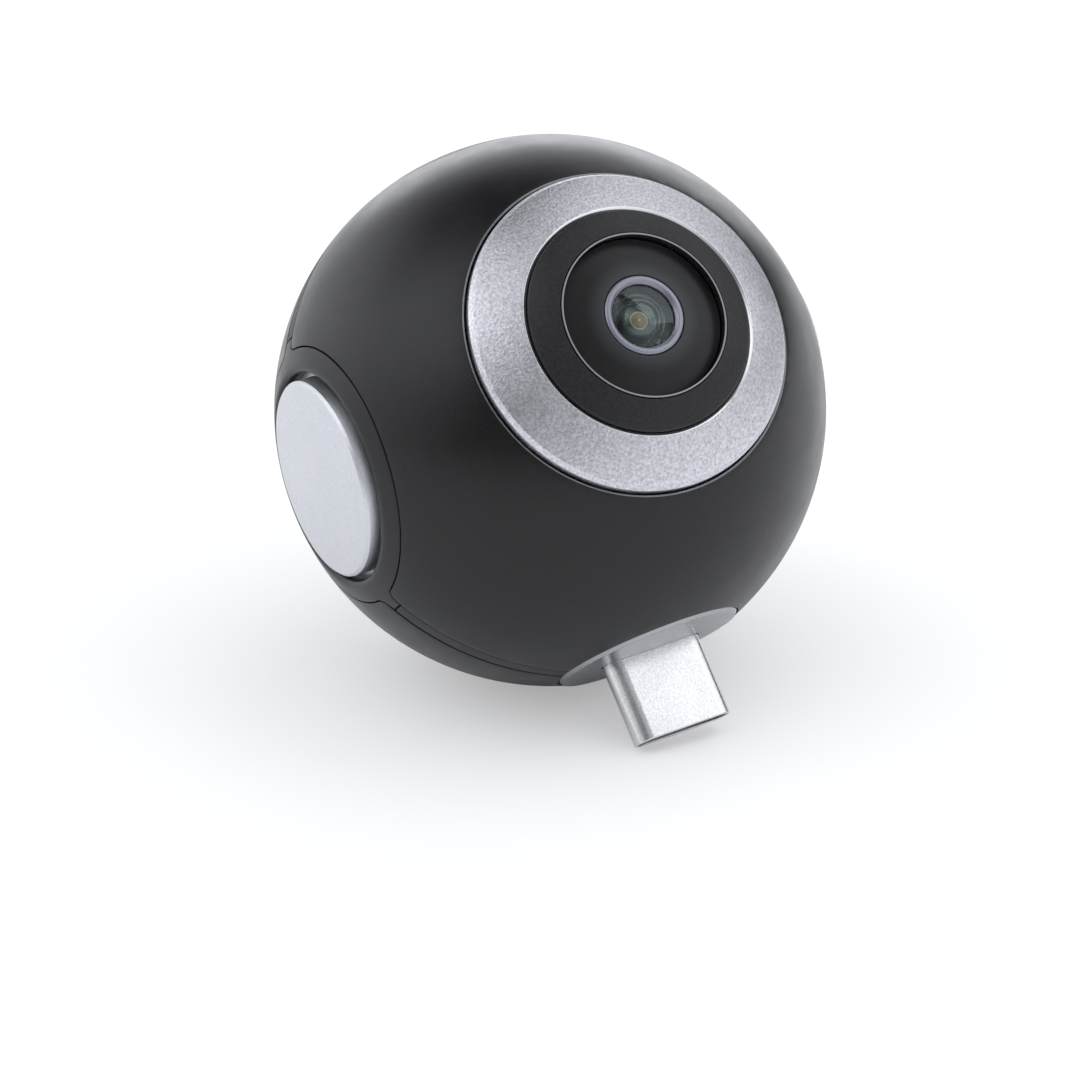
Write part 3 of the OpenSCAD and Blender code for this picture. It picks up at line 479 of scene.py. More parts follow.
def inner_glass(name):
    """Second glass as it is seen through the dome: a white dot that is a painted highlight, amber middle,
    greenish rings that are a painted reflection of the coating, and a bright edge.
    """
    lens, colours = settings("lens_sizes"), settings("finish_colours")
    material, tree, shader = new_material(name)
    place = add(tree, "ShaderNodeTexCoord").outputs["Object"]
    share = worked_out(tree, "MULTIPLY", from_lens_axis(tree, place), 1 / lens.middle_radius)
    ramp = add(tree, "ShaderNodeValToRGB", {"Fac": share})
    # The white dot in the middle is a painted highlight, and the greenish rings are a painted reflection of
    # the coating.
    dot, amber, gold = (0.7, 0.75, 0.9, 1), rgba(colours.pupil), (0.55, 0.47, 0.2, 1)
    painted_green_reflection, painted_deep_green_reflection = (0.03, 0.05, 0.03, 1), (0.018, 0.032, 0.02, 1)
    black, outer_black = (0.004, 0.005, 0.005, 1), (0.004, 0.004, 0.005, 1)
    edge_line = (0.7, 0.73, 0.75, 1)
    stops = [
        (0.0, dot), (0.03, dot), (0.055, amber), (0.33, rgba(amber, 0.8)), (0.365, gold), (0.39, gold),
        (0.41, painted_green_reflection), (0.68, painted_deep_green_reflection), (0.74, black), (0.935, outer_black),
        (0.95, edge_line), (0.98, edge_line), (0.99, (0.01, 0.01, 0.011, 1)),
    ]
    while len(ramp.color_ramp.elements) < len(stops):
        ramp.color_ramp.elements.new(0.5)
    for element, (place_on, colour) in zip(ramp.color_ramp.elements, stops):
        element.position, element.color = place_on, colour
    tree.links.new(ramp.outputs["Color"], shader.inputs["Base Color"])
    speck = noise(tree, place, scale=2500.0, detail=2.0)
    tree.links.new(mapped(tree, speck, (0.0, 1.0), (0.03, 0.09)), shader.inputs["Roughness"])
    shader.inputs["Specular Tint"].default_value = rgba(colours.coating)
    shader.inputs["Specular IOR Level"].default_value = 0.25
    return material


def recipe(slot):
    """Colour, grain and gloss of a record slot."""
    colours, lens, own = settings("finish_colours"), settings("lens_sizes"), RECORD_COLOUR[slot]
    known = {
        "shell_black": dict(
            colour=colours.shell, spread=0.3, rough=(0.28, 0.35), grain=6500, depth=0.000012, specular=0.36,
            # Grey metal edge finish on the black plastic lip: a painted highlight.
            edge=(colours.shell_lip_highlight, 0.28, 0.9),
        ),
        "bezel_black": dict(
            colour=colours.bezel, spread=0.2, rough=(0.33, 0.39), grain=9000, depth=0.000003, specular=0.4,
        ),
        "frame_black": dict(colour=own, spread=0.2, rough=(0.5, 0.6), grain=7000, depth=0.000008),
        "button_silver": dict(
            colour=colours.button, spread=0.07, rough=(0.38, 0.46), grain=5200, depth=0.000010, metal=1.0,
        ),
        "ring_silver": dict(
            colour=colours.ring, spread=0.26, rough=(0.34, 0.42), grain=4800, depth=0.000034, metal=1.0,
            edge=(colours.ring_edge, 0.16, 1.0),
        ),
        "plate_silver": dict(
            colour=colours.plate, spread=0.05, rough=(0.22, 0.28), grain=9000, depth=0.000003, metal=1.0,
        ),
        "surround_black": dict(
            colour=colours.surround, spread=0.6, rough=(0.40, 0.52), grain=4800, depth=0.000026, specular=0.4,
        ),
        "accent_bright": dict(
            colour=colours.accent, spread=0.04, rough=(0.22, 0.30), grain=9000, depth=0.000002, metal=1.0,
        ),
        "well_black": dict(
            colour=colours.well, spread=0.3, rough=(0.30, 0.38), grain=5200, depth=0.000010, specular=0.35,
            # The dish's paler middle is a painted highlight.
            painted_sheen=(lens.painted_sheen, lens.painted_sheen_end, colours.painted_sheen),
        ),
        "barrel_black": dict(
            colour=colours.barrel, spread=0.3, rough=(0.45, 0.6), grain=7000, depth=0.000006,
        ),
        "retainer_grey": dict(
            colour=colours.rim, spread=0.06, rough=(0.34, 0.42), grain=9000, depth=0.000002, metal=0.8,
        ),
        "plug_steel": dict(
            colour=colours.steel, spread=0.1, rough=(0.18, 0.26), grain=5200, depth=0.000006, metal=1.0,
        ),
        "plug_black": dict(colour=own, spread=0.2, rough=(0.45, 0.55), grain=7000, depth=0.000004),
    }
    if slot in known:
        return known[slot]
    plain = dict(colour=own, spread=0.12, grain=5000, depth=0.000004)
    if any(word in RECORD_CLASS[slot] for word in METALS):
        return dict(plain, rough=(0.28, 0.36), metal=1.0)
    return dict(plain, rough=(0.42, 0.55))


def finish(slot):
    """Material of a record slot, made once."""
    name = "finish_" + slot
    known = bpy.data.materials.get(name)
    if known:
        return known
    if slot == "lens_glass":
        return coated_glass(name)
    return grained(name, **recipe(slot))


# Meshes

def show(name, mesh):
    made = bpy.data.objects.new(name, mesh)
    bpy.context.scene.collection.objects.link(made)
    return made


def plain_mesh(made):
    """Turns what the object's modifiers make into its own mesh."""
    graph = bpy.context.evaluated_depsgraph_get()
    seen = made.evaluated_get(graph)
    baked = bpy.data.meshes.new_from_object(seen, preserve_all_data_layers=True, depsgraph=graph)
    made.modifiers.clear()
    old, made.data = made.data, baked
    bpy.data.meshes.remove(old)
    baked.name = made.name
    return baked


def run_nodes(made, tree, values):
    """Runs a node group on an object with named inputs, and keeps what it makes."""
    modifier = made.modifiers.new(tree.name, "NODES")
    modifier.node_group = tree
    for item in tree.interface.items_tree:
        if item.item_type == "SOCKET" and item.in_out == "INPUT" and item.name in values:
            modifier[item.identifier] = values[item.name]
    return plain_mesh(made)


def soften(made):
    """Smooth shading that keeps broad faces true beside their narrow rounds."""
    for face in made.data.polygons:
        face.use_smooth = True
    weighted = made.modifiers.new("Face weights", "WEIGHTED_NORMAL")
    weighted.mode, weighted.weight, weighted.keep_sharp = "FACE_AREA", 50, False
    plain_mesh(made)


def mark_polish_and_highlight(mesh, faces):
    """Marks the faces that have the edge finish, which is a cut bright bevel on the ring and a painted
    highlight on the shell's lip.
    """
    marks = mesh.attributes.new("polish_and_highlight", "FLOAT", "FACE")
    marks.data.foreach_set("value", [1.0 if i in faces else 0.0 for i in range(len(mesh.polygons))])


def place(made, node):
    """Puts a finished piece in the stead of its CAD node."""
    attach(made, BODY_OF[node])
    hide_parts(node)


# Turned and swept pieces

def corner(reach, height, amount=EDGE_ROUND):
    return (reach, height, amount)


def arc(ball, start, end, centre=0.0, steps=ARC_STEPS):
    """Points of a face that follows a ball, between two reaches."""
    reaches = [start + (end - start) * i / steps for i in range(steps + 1)]
    return [(r, centre + sphere_height(ball, r), 0.0) for r in reaches]


def with_ends(points, amount):
    """The same points with the first and the last one rounded."""
    ends = (0, len(points) - 1)
    return [(r, h, amount if i in ends else 0.0) for i, (r, h, _) in enumerate(points)]


def swept_tree(name, flat_bar):
    """Geometry nodes that sweep a profile with rounded corners round a circle or a flat bar."""
    known = bpy.data.node_groups.get(name)
    if known:
        return known
    inputs = (
        ("Profile", "Geometry"), ("Steps", "Int"), ("Round Steps", "Int"), ("Reach", "Float"),
        ("Bar", "Float"), ("Material", "Material"),
    )
    tree, given = new_group(name, inputs, "Piece")

    def rounded(curve, count, radius):
        limits = {"Curve": curve, "Count": count, "Radius": radius, "Limit Radius": True}
        return add(tree, "GeometryNodeFilletCurve", limits, mode="POLY").outputs["Curve"]

    line = add(tree, "GeometryNodeMeshToCurve", {"Mesh": given["Profile"]}).outputs["Curve"]
    amount = add(tree, "GeometryNodeInputNamedAttribute", {"Name": "round"}, data_type="FLOAT")
    profile = rounded(line, given["Round Steps"], amount.outputs["Attribute"])
    if flat_bar:
        depth = worked_out(tree, "MULTIPLY", given["Reach"], 2.0)
        across = worked_out(tree, "ADD", given["Bar"], depth)
        box = add(tree, "GeometryNodeCurvePrimitiveQuadrilateral", {"Width": across, "Height": depth})
        path = rounded(box.outputs["Curve"], given["Steps"], given["Reach"])
    else:
        ring = {"Resolution": given["Steps"], "Radius": given["Reach"]}
        path = add(tree, "GeometryNodeCurvePrimitiveCircle", ring).outputs["Curve"]
    skin = add(tree, "GeometryNodeCurveToMesh", {"Curve": path, "Profile Curve": profile}).outputs["Mesh"]
    closed = add(tree, "GeometryNodeMergeByDistance", {"Geometry": skin, "Distance": WELD_DISTANCE})
    smooth = add(tree, "GeometryNodeSetShadeSmooth", {"Geometry": closed.outputs["Geometry"]})
    end_group(tree, smooth.outputs["Geometry"], given["Material"], "Piece")
    return tree


def face_outwards(mesh):
    """Turns a closed mesh's faces outwards and drops its loose edges."""
    shape = bmesh.new()
    shape.from_mesh(mesh)
    bmesh.ops.recalc_face_normals(shape, faces=shape.faces)
    if shape.calc_volume(signed=True) < 0:
        bmesh.ops.reverse_faces(shape, faces=shape.faces)
    loose = [edge for edge in shape.edges if not edge.link_faces]
    bmesh.ops.delete(shape, geom=loose, context="EDGES")
    shape.to_mesh(mesh)
    shape.free()


def swept(name, profile, frame_of_piece, material, steps=TURN_STEPS, reach=0.01, bar=None):
    """Piece turned from a profile of (reach, height, round) points, or swept round a flat bar."""
    mesh = bpy.data.meshes.new(name)
    count = len(profile)
    is_open = profile[0][0] == 0 and profile[-1][0] == 0
    edges = [(i, (i + 1) % count) for i in range(count - 1 if is_open else count)]
    mesh.from_pydata([(r - reach, -h, 0) for r, h, _ in profile], edges, [])
    rounds = mesh.attributes.new("round", "FLOAT", "POINT")
    rounds.data.foreach_set("value", [each for _, _, each in profile])
    made = show(name, mesh)
    tree = swept_tree("Turned piece", False) if bar is None else swept_tree("Swept round a flat bar", True)
    values = {"Steps": steps, "Round Steps": ROUND_STEPS, "Reach": reach, "Bar": bar or 0.0}
    mesh = run_nodes(made, tree, {**values, "Material": material})
    face_outwards(mesh)
    mesh.transform(frame_of_piece)
    for attribute in [a for a in mesh.attributes if a.name == "round"]:
        mesh.attributes.remove(attribute)
    soften(made)
    return made


# Outlines and edges

def circle(radius):
    count = round(2 * math.pi * radius / OUTLINE_STEP)
    turns = [2 * math.pi * i / count for i in range(count)]
    return [(radius * math.cos(t), radius * math.sin(t)) for t in turns]


def bezel_outline(grow=0.0):
    """Disc with an ear on each side, along the seam."""
    ball, button = settings("ball_sizes"), settings("button_sizes")
    disc = button.radius + button.gap + button.bezel + grow
    half = ball.strip / 2 + grow
    fillet = button.ear_fillet - grow
    centre = sphere_height(disc + fillet, half + fillet)
    tip = centre + button.ear_tail + grow
    lean = math.atan2(half + fillet, centre)
    rest = math.pi / 2 - lean
    quarter = [(tip, half / 2), (tip, half), (centre, half)]
    for i in range(1, FILLET_STEPS + 1):
        angle = -math.pi / 2 - rest * i / FILLET_STEPS
        quarter.append((centre + fillet * math.cos(angle), half + fillet + fillet * math.sin(angle)))
    steps = round(disc * rest / OUTLINE_STEP)
    turns = [lean + rest * i / steps for i in range(1, steps)]
    quarter += [(disc * math.cos(t), disc * math.sin(t)) for t in turns]
    half_turn = quarter + [(0.0, disc)] + [(-x, y) for x, y in reversed(quarter)]
    return half_turn + [(-x, -y) for x, y in half_turn]


def bar_outline(across, depth):
    """Flat bar with round ends."""
    half, radius = (across - depth) / 2, depth / 2
    turns = [-math.pi / 2 + math.pi * i / BAR_END_STEPS for i in range(BAR_END_STEPS + 1)]
    end = [(half + radius * math.cos(t), radius * math.sin(t)) for t in turns]
    straight = [half - 2 * half * i / BAR_SIDE_STEPS for i in range(1, BAR_SIDE_STEPS)]
    side = end + [(x, radius) for x in straight]
    return side + [(-x, -y) for x, y in side]


class Edge:
    """Edge of a piece cut from the ball: its points, the way its wall runs, and its round."""

    # The last flag marks an edge whose bevel gets the edge finish; on the shell's opening that finish is a
    # painted highlight.
    def __init__(self, points, wall, amount, shape=ROUND_EDGE, polish_and_highlight=False):
        self.points, self.wall, self.amount = points, wall, amount
        self.shape, self.polish_and_highlight = shape, polish_and_highlight


def seam_edge(place_on, amount, face=None):
    """Edge at a seam plane, on the ball or on a smaller face in it; its wall runs straight to the middle."""
    ball = settings("ball_sizes").radius
    reach = sphere_height(face or ball, place_on)
    return Edge([Vector((x, place_on, ball + z)) for x, z in circle(reach)], None, amount)


def outline_edge(frame_of_piece, outline, ball, amount, shape=ROUND_EDGE, centre=None, polish_and_highlight=False):
    """Edge drawn in a piece's own plane and carried up to the ball; its wall runs along the piece's axis."""
    middle = frame_of_piece.inverted() @ (centre or ball_centre())
    points = []
    for x, y in outline:
        height = middle.z + math.sqrt(ball * ball - (x - middle.x) ** 2 - (y - middle.y) ** 2)
        points.append(frame_of_piece @ Vector((x, y, height)))
    return Edge(points, -frame_of_piece.col[2].xyz, amount, shape, polish_and_highlight)


def let_in_cuts(ball, amount):
    """Edges of the openings for the bezels, the cap and the plate."""
    sizes, plug = settings("ball_sizes"), settings("plug_sizes")
    bezel = bezel_outline(sizes.joint_gap)
    openings = {
        "button": bezel,
        "side": bezel,
        "top": circle(sizes.cap_radius + sizes.joint_gap),
        "plug": circle(plug.plate_radius + sizes.joint_gap),
    }
    return [outline_edge(axis(name), outline, ball, amount) for name, outline in openings.items()]


# Pieces cut from the ball

def turning(loop):
    """Twice the area inside a loop on the chart, positive where it runs anticlockwise."""
    return sum(a.x * b.y - b.x * a.y for a, b in zip(loop, loop[1:] + loop[:1]))


def swing(start, end):
    """Shortest turn from one angle to another."""
    return (end - start + math.pi) % (2 * math.pi) - math.pi


def fill_chart(loops, points, keep, cuts):
    """Triangles inside the kept loops and outside the cut ones, on a flat chart."""
    flat, faces = [], []
    for loop in loops:
        ids = list(range(len(flat), len(flat) + len(loop)))
        faces.append(ids if turning(loop) > 0 else ids[::-1])
        flat += loop
    made = delaunay_2d_cdt(flat + points, [], faces, 0, CHART_WELD)
    spots, triangles, from_spot, from_loop = made[0], made[2], made[3], made[5]
    chosen = [
        t for t, ids in zip(triangles, from_loop)
        if any(i in keep for i in ids) and not any(i in cuts for i in ids)
    ]
    return spots, chosen, from_spot


class BallSkin:
    """Closed solid cut from a ball's wall, with rounded edges and straight walls.

    Its face is filled on a flat chart of the ball. Each point on the face's border gets a row of points
    over the round and down the wall to its foot, and the feet bound the inner face.
    """

    def __init__(self, name, frame_of_piece, ball, floor, centre):
        self.name, self.ball, self.floor, self.centre = name, ball, floor, centre
        self.across, self.up, self.out = (frame_of_piece.col[i].xyz for i in range(3))
        self.verts, self.faces, self.polish_and_highlight = [], [], set()

    def build(self, edges, spacing):
        self.fill_face(edges, spacing)
        self.round_edges(edges)
        self.spread_feet()
        self.build_walls()
        self.fill_floor(2 * spacing)

    def chart(self, point):
        way = (point - self.centre).normalized()
        return Vector((way.dot(self.across), way.dot(self.up))) / (1 + way.dot(self.out))

    def on_ball(self, x, y, z, radius):
        return self.centre + (self.across * x + self.up * y + self.out * z) * radius

    def from_chart(self, spot, radius):
        share = 2 / (1 + spot.dot(spot))
        return self.on_ball(spot.x * share, spot.y * share, share - 1, radius)

    def inner_points(self, radius, gap, edges, clear):
        """Evenly spread points on the chart that stay clear of the edges."""
        trees = []
        for points in edges:
            trees.append(KDTree(len(points)))
            for i, point in enumerate(points):
                trees[-1].insert(point, i)
            trees[-1].balance()
        lowest = min((p - self.centre).normalized().dot(self.out) for points in edges for p in points)
        count = round(4 * math.pi * radius * radius / (gap * gap * SPREAD_SHARE))
        golden_turn = math.pi * (3 - math.sqrt(5))
        found = []
        for i in range(count):
            height = 1 - (2 * i + 1) / count
            if height < lowest:
                break
            flat = math.sqrt(1 - height * height)
            turn = golden_turn * i
            point = self.on_ball(flat * math.cos(turn), flat * math.sin(turn), height, radius)
            if all(tree.find(point)[2] > gap / 2 + room for tree, room in zip(trees, clear)):
                found.append(self.chart(point))
        return found

    def fill_face(self, edges, spacing):
        """Fills the outer face and finds its border and the edge that each border point is on."""
        loops = [[self.chart(p) for p in edge.points] for edge in edges]
        inner = self.inner_points(self.ball, spacing, [e.points for e in edges], [e.amount for e in edges])
        self.spots, triangles, from_spot = fill_chart(loops, inner, {0}, set(range(1, len(edges))))
        owner_of = [i for i, edge in enumerate(edges) for _ in edge.points]
        self.owners = [{owner_of[i] for i in ids if i < len(owner_of)} for ids in from_spot]
        sides = {(t[i], t[(i + 1) % 3]) for t in triangles for i in range(3)}
        self.after = {a: b for a, b in sides if (b, a) not in sides}
        self.before = {b: a for a, b in self.after.items()}
        if len(self.before) != len(self.after):
            raise RuntimeError(self.name + ": an edge of the skin touches itself")
        self.where = {}
        for t in triangles:
            for i in t:
                if i not in self.where:
                    self.where[i] = len(self.verts)
                    self.verts.append(self.face_point(i))
        self.faces += [[self.where[i] for i in t] for t in triangles]

    def face_point(self, i):
        return self.from_chart(self.spots[i], self.ball)

    def add_point(self, row, point):
        row.append(len(self.verts))
        self.verts.append(point)

    def round_edges(self, edges):
        """Gives each border point its row over the round and down the wall."""
        self.rows, self.foot, self.straight, self.bright = {}, {}, set(), set()
        for i, following in self.after.items():
            point, leading = self.face_point(i), self.before[i]
            normal = (point - self.centre).normalized()
            ways = (point - self.face_point(leading), self.face_point(following) - point)
            inward = [normal.cross(way.normalized()) for way in ways]
            mitre = (inward[0] + inward[1]) / max(MITRE_LIMIT, 1 + inward[0].dot(inward[1]))
            held = [edges[o] for o in self.owners[i] or self.owners[leading] | self.owners[following]]
            fixed = [e for e in held if e.wall is not None]
            wall = fixed[0].wall if fixed else Vector((-normal.x, 0, -normal.z)).normalized()
            if fixed:
                self.straight.add(i)
            # Points whose edges all have the edge finish, a painted highlight on the shell's lip.
            if all(e.polish_and_highlight for e in held):
                self.bright.add(i)
            edge = min(held, key=lambda e: e.amount)
            over, under = mitre * edge.amount, wall * edge.amount
            row = [point + over * along + under * down for along, down in edge.shape]
            self.verts[self.where[i]] = self.centre + (row[0] - self.centre).normalized() * self.ball
            self.rows[i] = [self.where[i]]
            for spot in row[1:]:
                self.add_point(self.rows[i], spot)
            self.foot[i] = self.foot_of(point, wall)
            self.add_point(self.rows[i], self.foot[i])

    def foot_of(self, point, wall):
        """Where a wall that starts at a point meets the inner face."""
        offset = point - self.centre
        run = offset.dot(wall)
        drop = run * run - offset.dot(offset) + self.floor * self.floor
        if drop < 0:
            raise RuntimeError(self.name + ": a wall misses the inner face")
        return point + wall * (-run - math.sqrt(drop))

    def angle(self, point):
        return math.atan2(point.z - self.centre.z, point.x - self.centre.x)

    def spread_feet(self):
        """Spreads the feet of each stretch of seam evenly between the straight walls at its ends."""
        for start in [i for i in self.straight if self.after[i] not in self.straight]:
            stretch, end = [], self.after[start]
            while end not in self.straight:
                stretch.append(end)
                end = self.after[end]
            heads = [self.angle(self.face_point(k)) for k in (start, *stretch, end)]
            turned = [0.0]
            for a, b in zip(heads, heads[1:]):
                turned.append(turned[-1] + swing(a, b))
            first = self.angle(self.foot[start])
            whole = swing(turned[-1], swing(first, self.angle(self.foot[end]))) + turned[-1]
            for k, share in zip(stretch, turned[1:]):
                place_on = self.foot[k].y
                reach = sphere_height(self.floor, place_on)
                turn = first + whole * share / turned[-1]
                across, up = reach * math.cos(turn), reach * math.sin(turn)
                self.foot[k] = Vector((across, place_on, self.centre.z + up))
                self.verts[self.rows[k][-1]] = self.foot[k]

    def build_walls(self):
        """Joins the rows of neighbours on the border; a longer row skips points before its foot."""
        for a, b in self.after.items():
            shared = min(len(self.rows[a]), len(self.rows[b]))
            row_a, row_b = (self.rows[i][: shared - 1] + self.rows[i][-1:] for i in (a, b))
            for k in range(shared - 1):
                if k < shared - 2 and a in self.bright and b in self.bright:
                    self.polish_and_highlight.add(len(self.faces))
                self.faces.append([row_b[k], row_a[k], row_a[k + 1], row_b[k + 1]])

    def border_loops(self):
        loops, left = [], set(self.after)
        while left:
            loop, i = [], min(left)
            while i in left:
                left.discard(i)
                loop.append(i)
                i = self.after[i]
            loops.append(loop)
        return loops

    def fill_floor(self, spacing):
        """Fills the inner face between the feet."""
        loops = self.border_loops()
        feet = [[self.foot[i] for i in loop] for loop in loops]
        charted = [[self.chart(point) for point in loop] for loop in feet]
        keep = {i for i, loop in enumerate(charted) if turning(loop) > 0}
        inner = self.inner_points(self.floor, spacing, feet, [0.0] * len(feet))
        spots, triangles, from_spot = fill_chart(charted, inner, keep, set(range(len(charted))) - keep)
        ends = [self.rows[i][-1] for loop in loops for i in loop]
        where = {}
        for t in triangles:
            for i in t:
                if i in where:
                    continue
                known = [ends[k] for k in from_spot[i] if k < len(ends)]
                if known:
                    where[i] = known[0]
                else:
                    where[i] = len(self.verts)
                    self.verts.append(self.from_chart(spots[i], self.floor))
            self.faces.append([where[i] for i in reversed(t)])


def ball_skin(name, frame_of_piece, ball, floor, keep, cuts, material, spacing=None, centre=None):
    """Piece cut from the wall between two balls, inside the kept edge and outside the cut ones."""
    skin = BallSkin(name, frame_of_piece, ball, floor, centre or ball_centre())
    skin.build([keep, *cuts], spacing or settings("ball_sizes").spacing)
    mesh = bpy.data.meshes.new(name)
    mesh.from_pydata(skin.verts, [], skin.faces)
    if skin.polish_and_highlight:
        mark_polish_and_highlight(mesh, skin.polish_and_highlight)
    mesh.validate()
    mesh.materials.append(material)
    made = show(name, mesh)
    soften(made)
    return made


# Operators

class BALLCAM_OT_shells(Operator):
    """Build the two black shells with their lens openings"""

    bl_idname = "ballcam.shells"
    bl_label = "Shells"

    def execute(self, context):
        ball, lens = settings("ball_sizes"), settings("lens_sizes")
        opening = circle(lens.ring_radius + lens.ring_gap)
        ends = {
            "front": ball.seam - ball.strip / 2 - ball.line_gap,
            "rear": ball.seam + ball.strip / 2 + ball.seam_gap,
        }
        for side, end in ends.items():
            node, out = side + "_shell", axis(side)
            face, inner = ball.radius, ball.radius - ball.wall
            # The opening's bevel gets the grey metal edge finish, a painted highlight on the black plastic
            # lip.
            bore = outline_edge(out, opening, face, lens.opening_bevel, BEVEL_EDGE, polish_and_highlight=True)
            cuts = [*let_in_cuts(face, ball.edge), bore]
            keep = seam_edge(end, ball.edge)
            place(ball_skin(node + "_skin", out, face, inner, keep, cuts, finish(SLOT_OF[node])), node)
        return {"FINISHED"}


class BALLCAM_OT_seam_strip(Operator):
    """Build the frame strip between the shells and the band behind it"""

    bl_idname = "ballcam.seam_strip"
    bl_label = "Seam strip"

    def execute(self, context):
        ball, button, plug = settings("ball_sizes"), settings("button_sizes"), settings("plug_sizes")
        cuts = let_in_cuts(ball.radius, ball.edge)
        self.cut_band("mid_frame_strip", ball.strip, ball.radius, ball.strip_depth, cuts)
        face = ball.radius - ball.wall - ball.band_gap
        bezel = button.radius + button.gap + button.bezel
        openings = {"button": bezel, "side": bezel, "top": ball.cap_radius, "plug": plug.plate_radius}
        cuts = [
            outline_edge(axis(name), circle(radius + ball.flange), face, ball.edge)
            for name, radius in openings.items()
        ]
        self.cut_band("mid_frame_band", ball.band, face, ball.band_wall, cuts)
        return {"FINISHED"}

    def cut_band(self, name, across, face, depth, cuts):
        """Band of a ball's wall, on both sides of the seam's middle."""
        ball = settings("ball_sizes")
        keep, cut = (seam_edge(ball.seam + half, ball.edge, face) for half in (across / 2, -across / 2))
        band = ball_skin(name, axis("front"), face, face - depth, keep, [*cuts, cut], finish("frame_black"))
        place(band, "mid_frame")


class BALLCAM_OT_bezels(Operator):
    """Build the bezels round the button and the side disc"""

    bl_idname = "ballcam.bezels"
    bl_label = "Bezels"

    def execute(self, context):
        ball, button = settings("ball_sizes"), settings("button_sizes")
        for side in ("button", "side"):
            node, out = side + "_bezel", axis(side)
            face, inner = ball.radius, ball.radius - ball.wall
            keep = outline_edge(out, bezel_outline(), face, ball.edge)
            bore = outline_edge(out, circle(button.radius + button.gap), face, button.lip)
            black = finish(SLOT_OF[node])
            skin = ball_skin(node + "_skin", out, face, inner, keep, [bore], black, button.bezel_spacing)
            place(skin, node)
        top, low = button.side_floor, button.side_floor - button.web
        reach = button.radius + button.gap + button.bezel / 4
        web = [(0.0, top, 0.0), corner(reach, top), corner(reach, low), (0.0, low, 0.0)]
        place(swept("side_bezel_web", web, axis("side"), finish(SLOT_OF["side_bezel"])), "side_bezel")
        return {"FINISHED"}


class BALLCAM_OT_button(Operator):
    """Turn the silver button and the fixed disc on the other side"""

    bl_idname = "ballcam.button"
    bl_label = "Button and side disc"

    def execute(self, context):
        button = settings("button_sizes")
        face, silver = self.crowned_face(button), finish("button_silver")
        pressed = face + self.hollow_back(button)
        place(swept("shutter_button_turned", pressed, axis("button"), silver), "shutter_button")
        fixed = face + [corner(button.radius, button.side_floor), (0.0, button.side_floor, 0.0)]
        place(swept("side_plate_turned", fixed, axis("side"), silver), "side_plate")
        return {"FINISHED"}

    def crowned_face(self, button):
        """Crowned face with a bevelled rim."""
        crown = crown_ball(button.radius, button.crown)
        face = arc(crown, 0.0, button.radius - button.bevel, button.apex - crown)
        rim = button.apex - button.crown - button.bevel
        return face[:-1] + [
            corner(*face[-1][:2], button.bevel_round), corner(button.radius, rim, button.bevel_round),
        ]

    def hollow_back(self, button):
        """Side, flange, hollow back and nub of the button."""
        rim = button.apex - button.crown
        flange_top = rim - button.side - button.run_gap
        flange_low = flange_top - button.flange
        bore = button.radius - button.thickness
        ceiling = rim - button.thickness
        return [
            corner(button.radius, flange_top), corner(button.flange_radius, flange_top),
            corner(button.flange_radius, flange_low), corner(bore, flange_low), corner(bore, ceiling),
            corner(button.nub_radius, ceiling), corner(button.nub_radius, button.foot),
            (0.0, button.foot, 0.0),
        ]


class BALLCAM_OT_cap(Operator):
    """Build the round black cap on top"""

    bl_idname = "ballcam.cap"
    bl_label = "Top cap"

    def execute(self, context):
        ball, out = settings("ball_sizes"), axis("top")
        keep = outline_edge(out, circle(ball.cap_radius), ball.cap_face, ball.edge)
        inner, black = ball.radius - ball.cap_depth, finish("bezel_black")
        place(ball_skin("top_cap_skin", out, ball.cap_face, inner, keep, [], black), "top_cap")
        return {"FINISHED"}


class BALLCAM_OT_plate(Operator):
    """Build the silver plate that the plug comes through"""

    bl_idname = "ballcam.plate"
    bl_label = "Plug plate"

    def execute(self, context):
        plug, out = settings("plug_sizes"), axis("plug")
        face = crown_ball(plug.plate_radius, plug.plate_crown)
        centre = out @ Vector((0, 0, plug.plate_high - face))
        keep = outline_edge(out, circle(plug.plate_radius), face, plug.plate_bevel, BEVEL_EDGE, centre)
        slot = bar_outline(plug.width + 2 * plug.slot_gap, plug.depth + 2 * plug.slot_gap)
        cut = outline_edge(out, slot, face, plug.slot_round, centre=centre)
        plate = ball_skin(
            "plug_plate_skin", out, face, face - plug.plate_thickness, keep, [cut], finish("plate_silver"),
            plug.plate_spacing, centre,
        )
        place(plate, "plug_plate")
        return {"FINISHED"}


class BALLCAM_OT_plug(Operator):
    """Draw the steel shell of the plug round its flat bar path"""

    bl_idname = "ballcam.plug"
    bl_label = "Plug shell"

    def execute(self, context):
        ball, plug = settings("ball_sizes"), settings("plug_sizes")
        outer, inner = plug.depth / 2, plug.depth / 2 - plug.wall
        tip, rear = ball.radius - plug.low, ball.radius - plug.high
        wall = [
            corner(outer, rear), corner(outer, tip, plug.tip_round),
            corner(inner, tip, plug.tip_lip), corner(inner, rear),
        ]
        bar = plug.width - plug.depth
        steel = finish("plug_steel")
        drawn = swept("usb_plug_shell_drawn", wall, axis("plug"), steel, PLUG_TURN_STEPS, outer, bar)
        place(drawn, "usb_plug_shell")
        return {"FINISHED"}


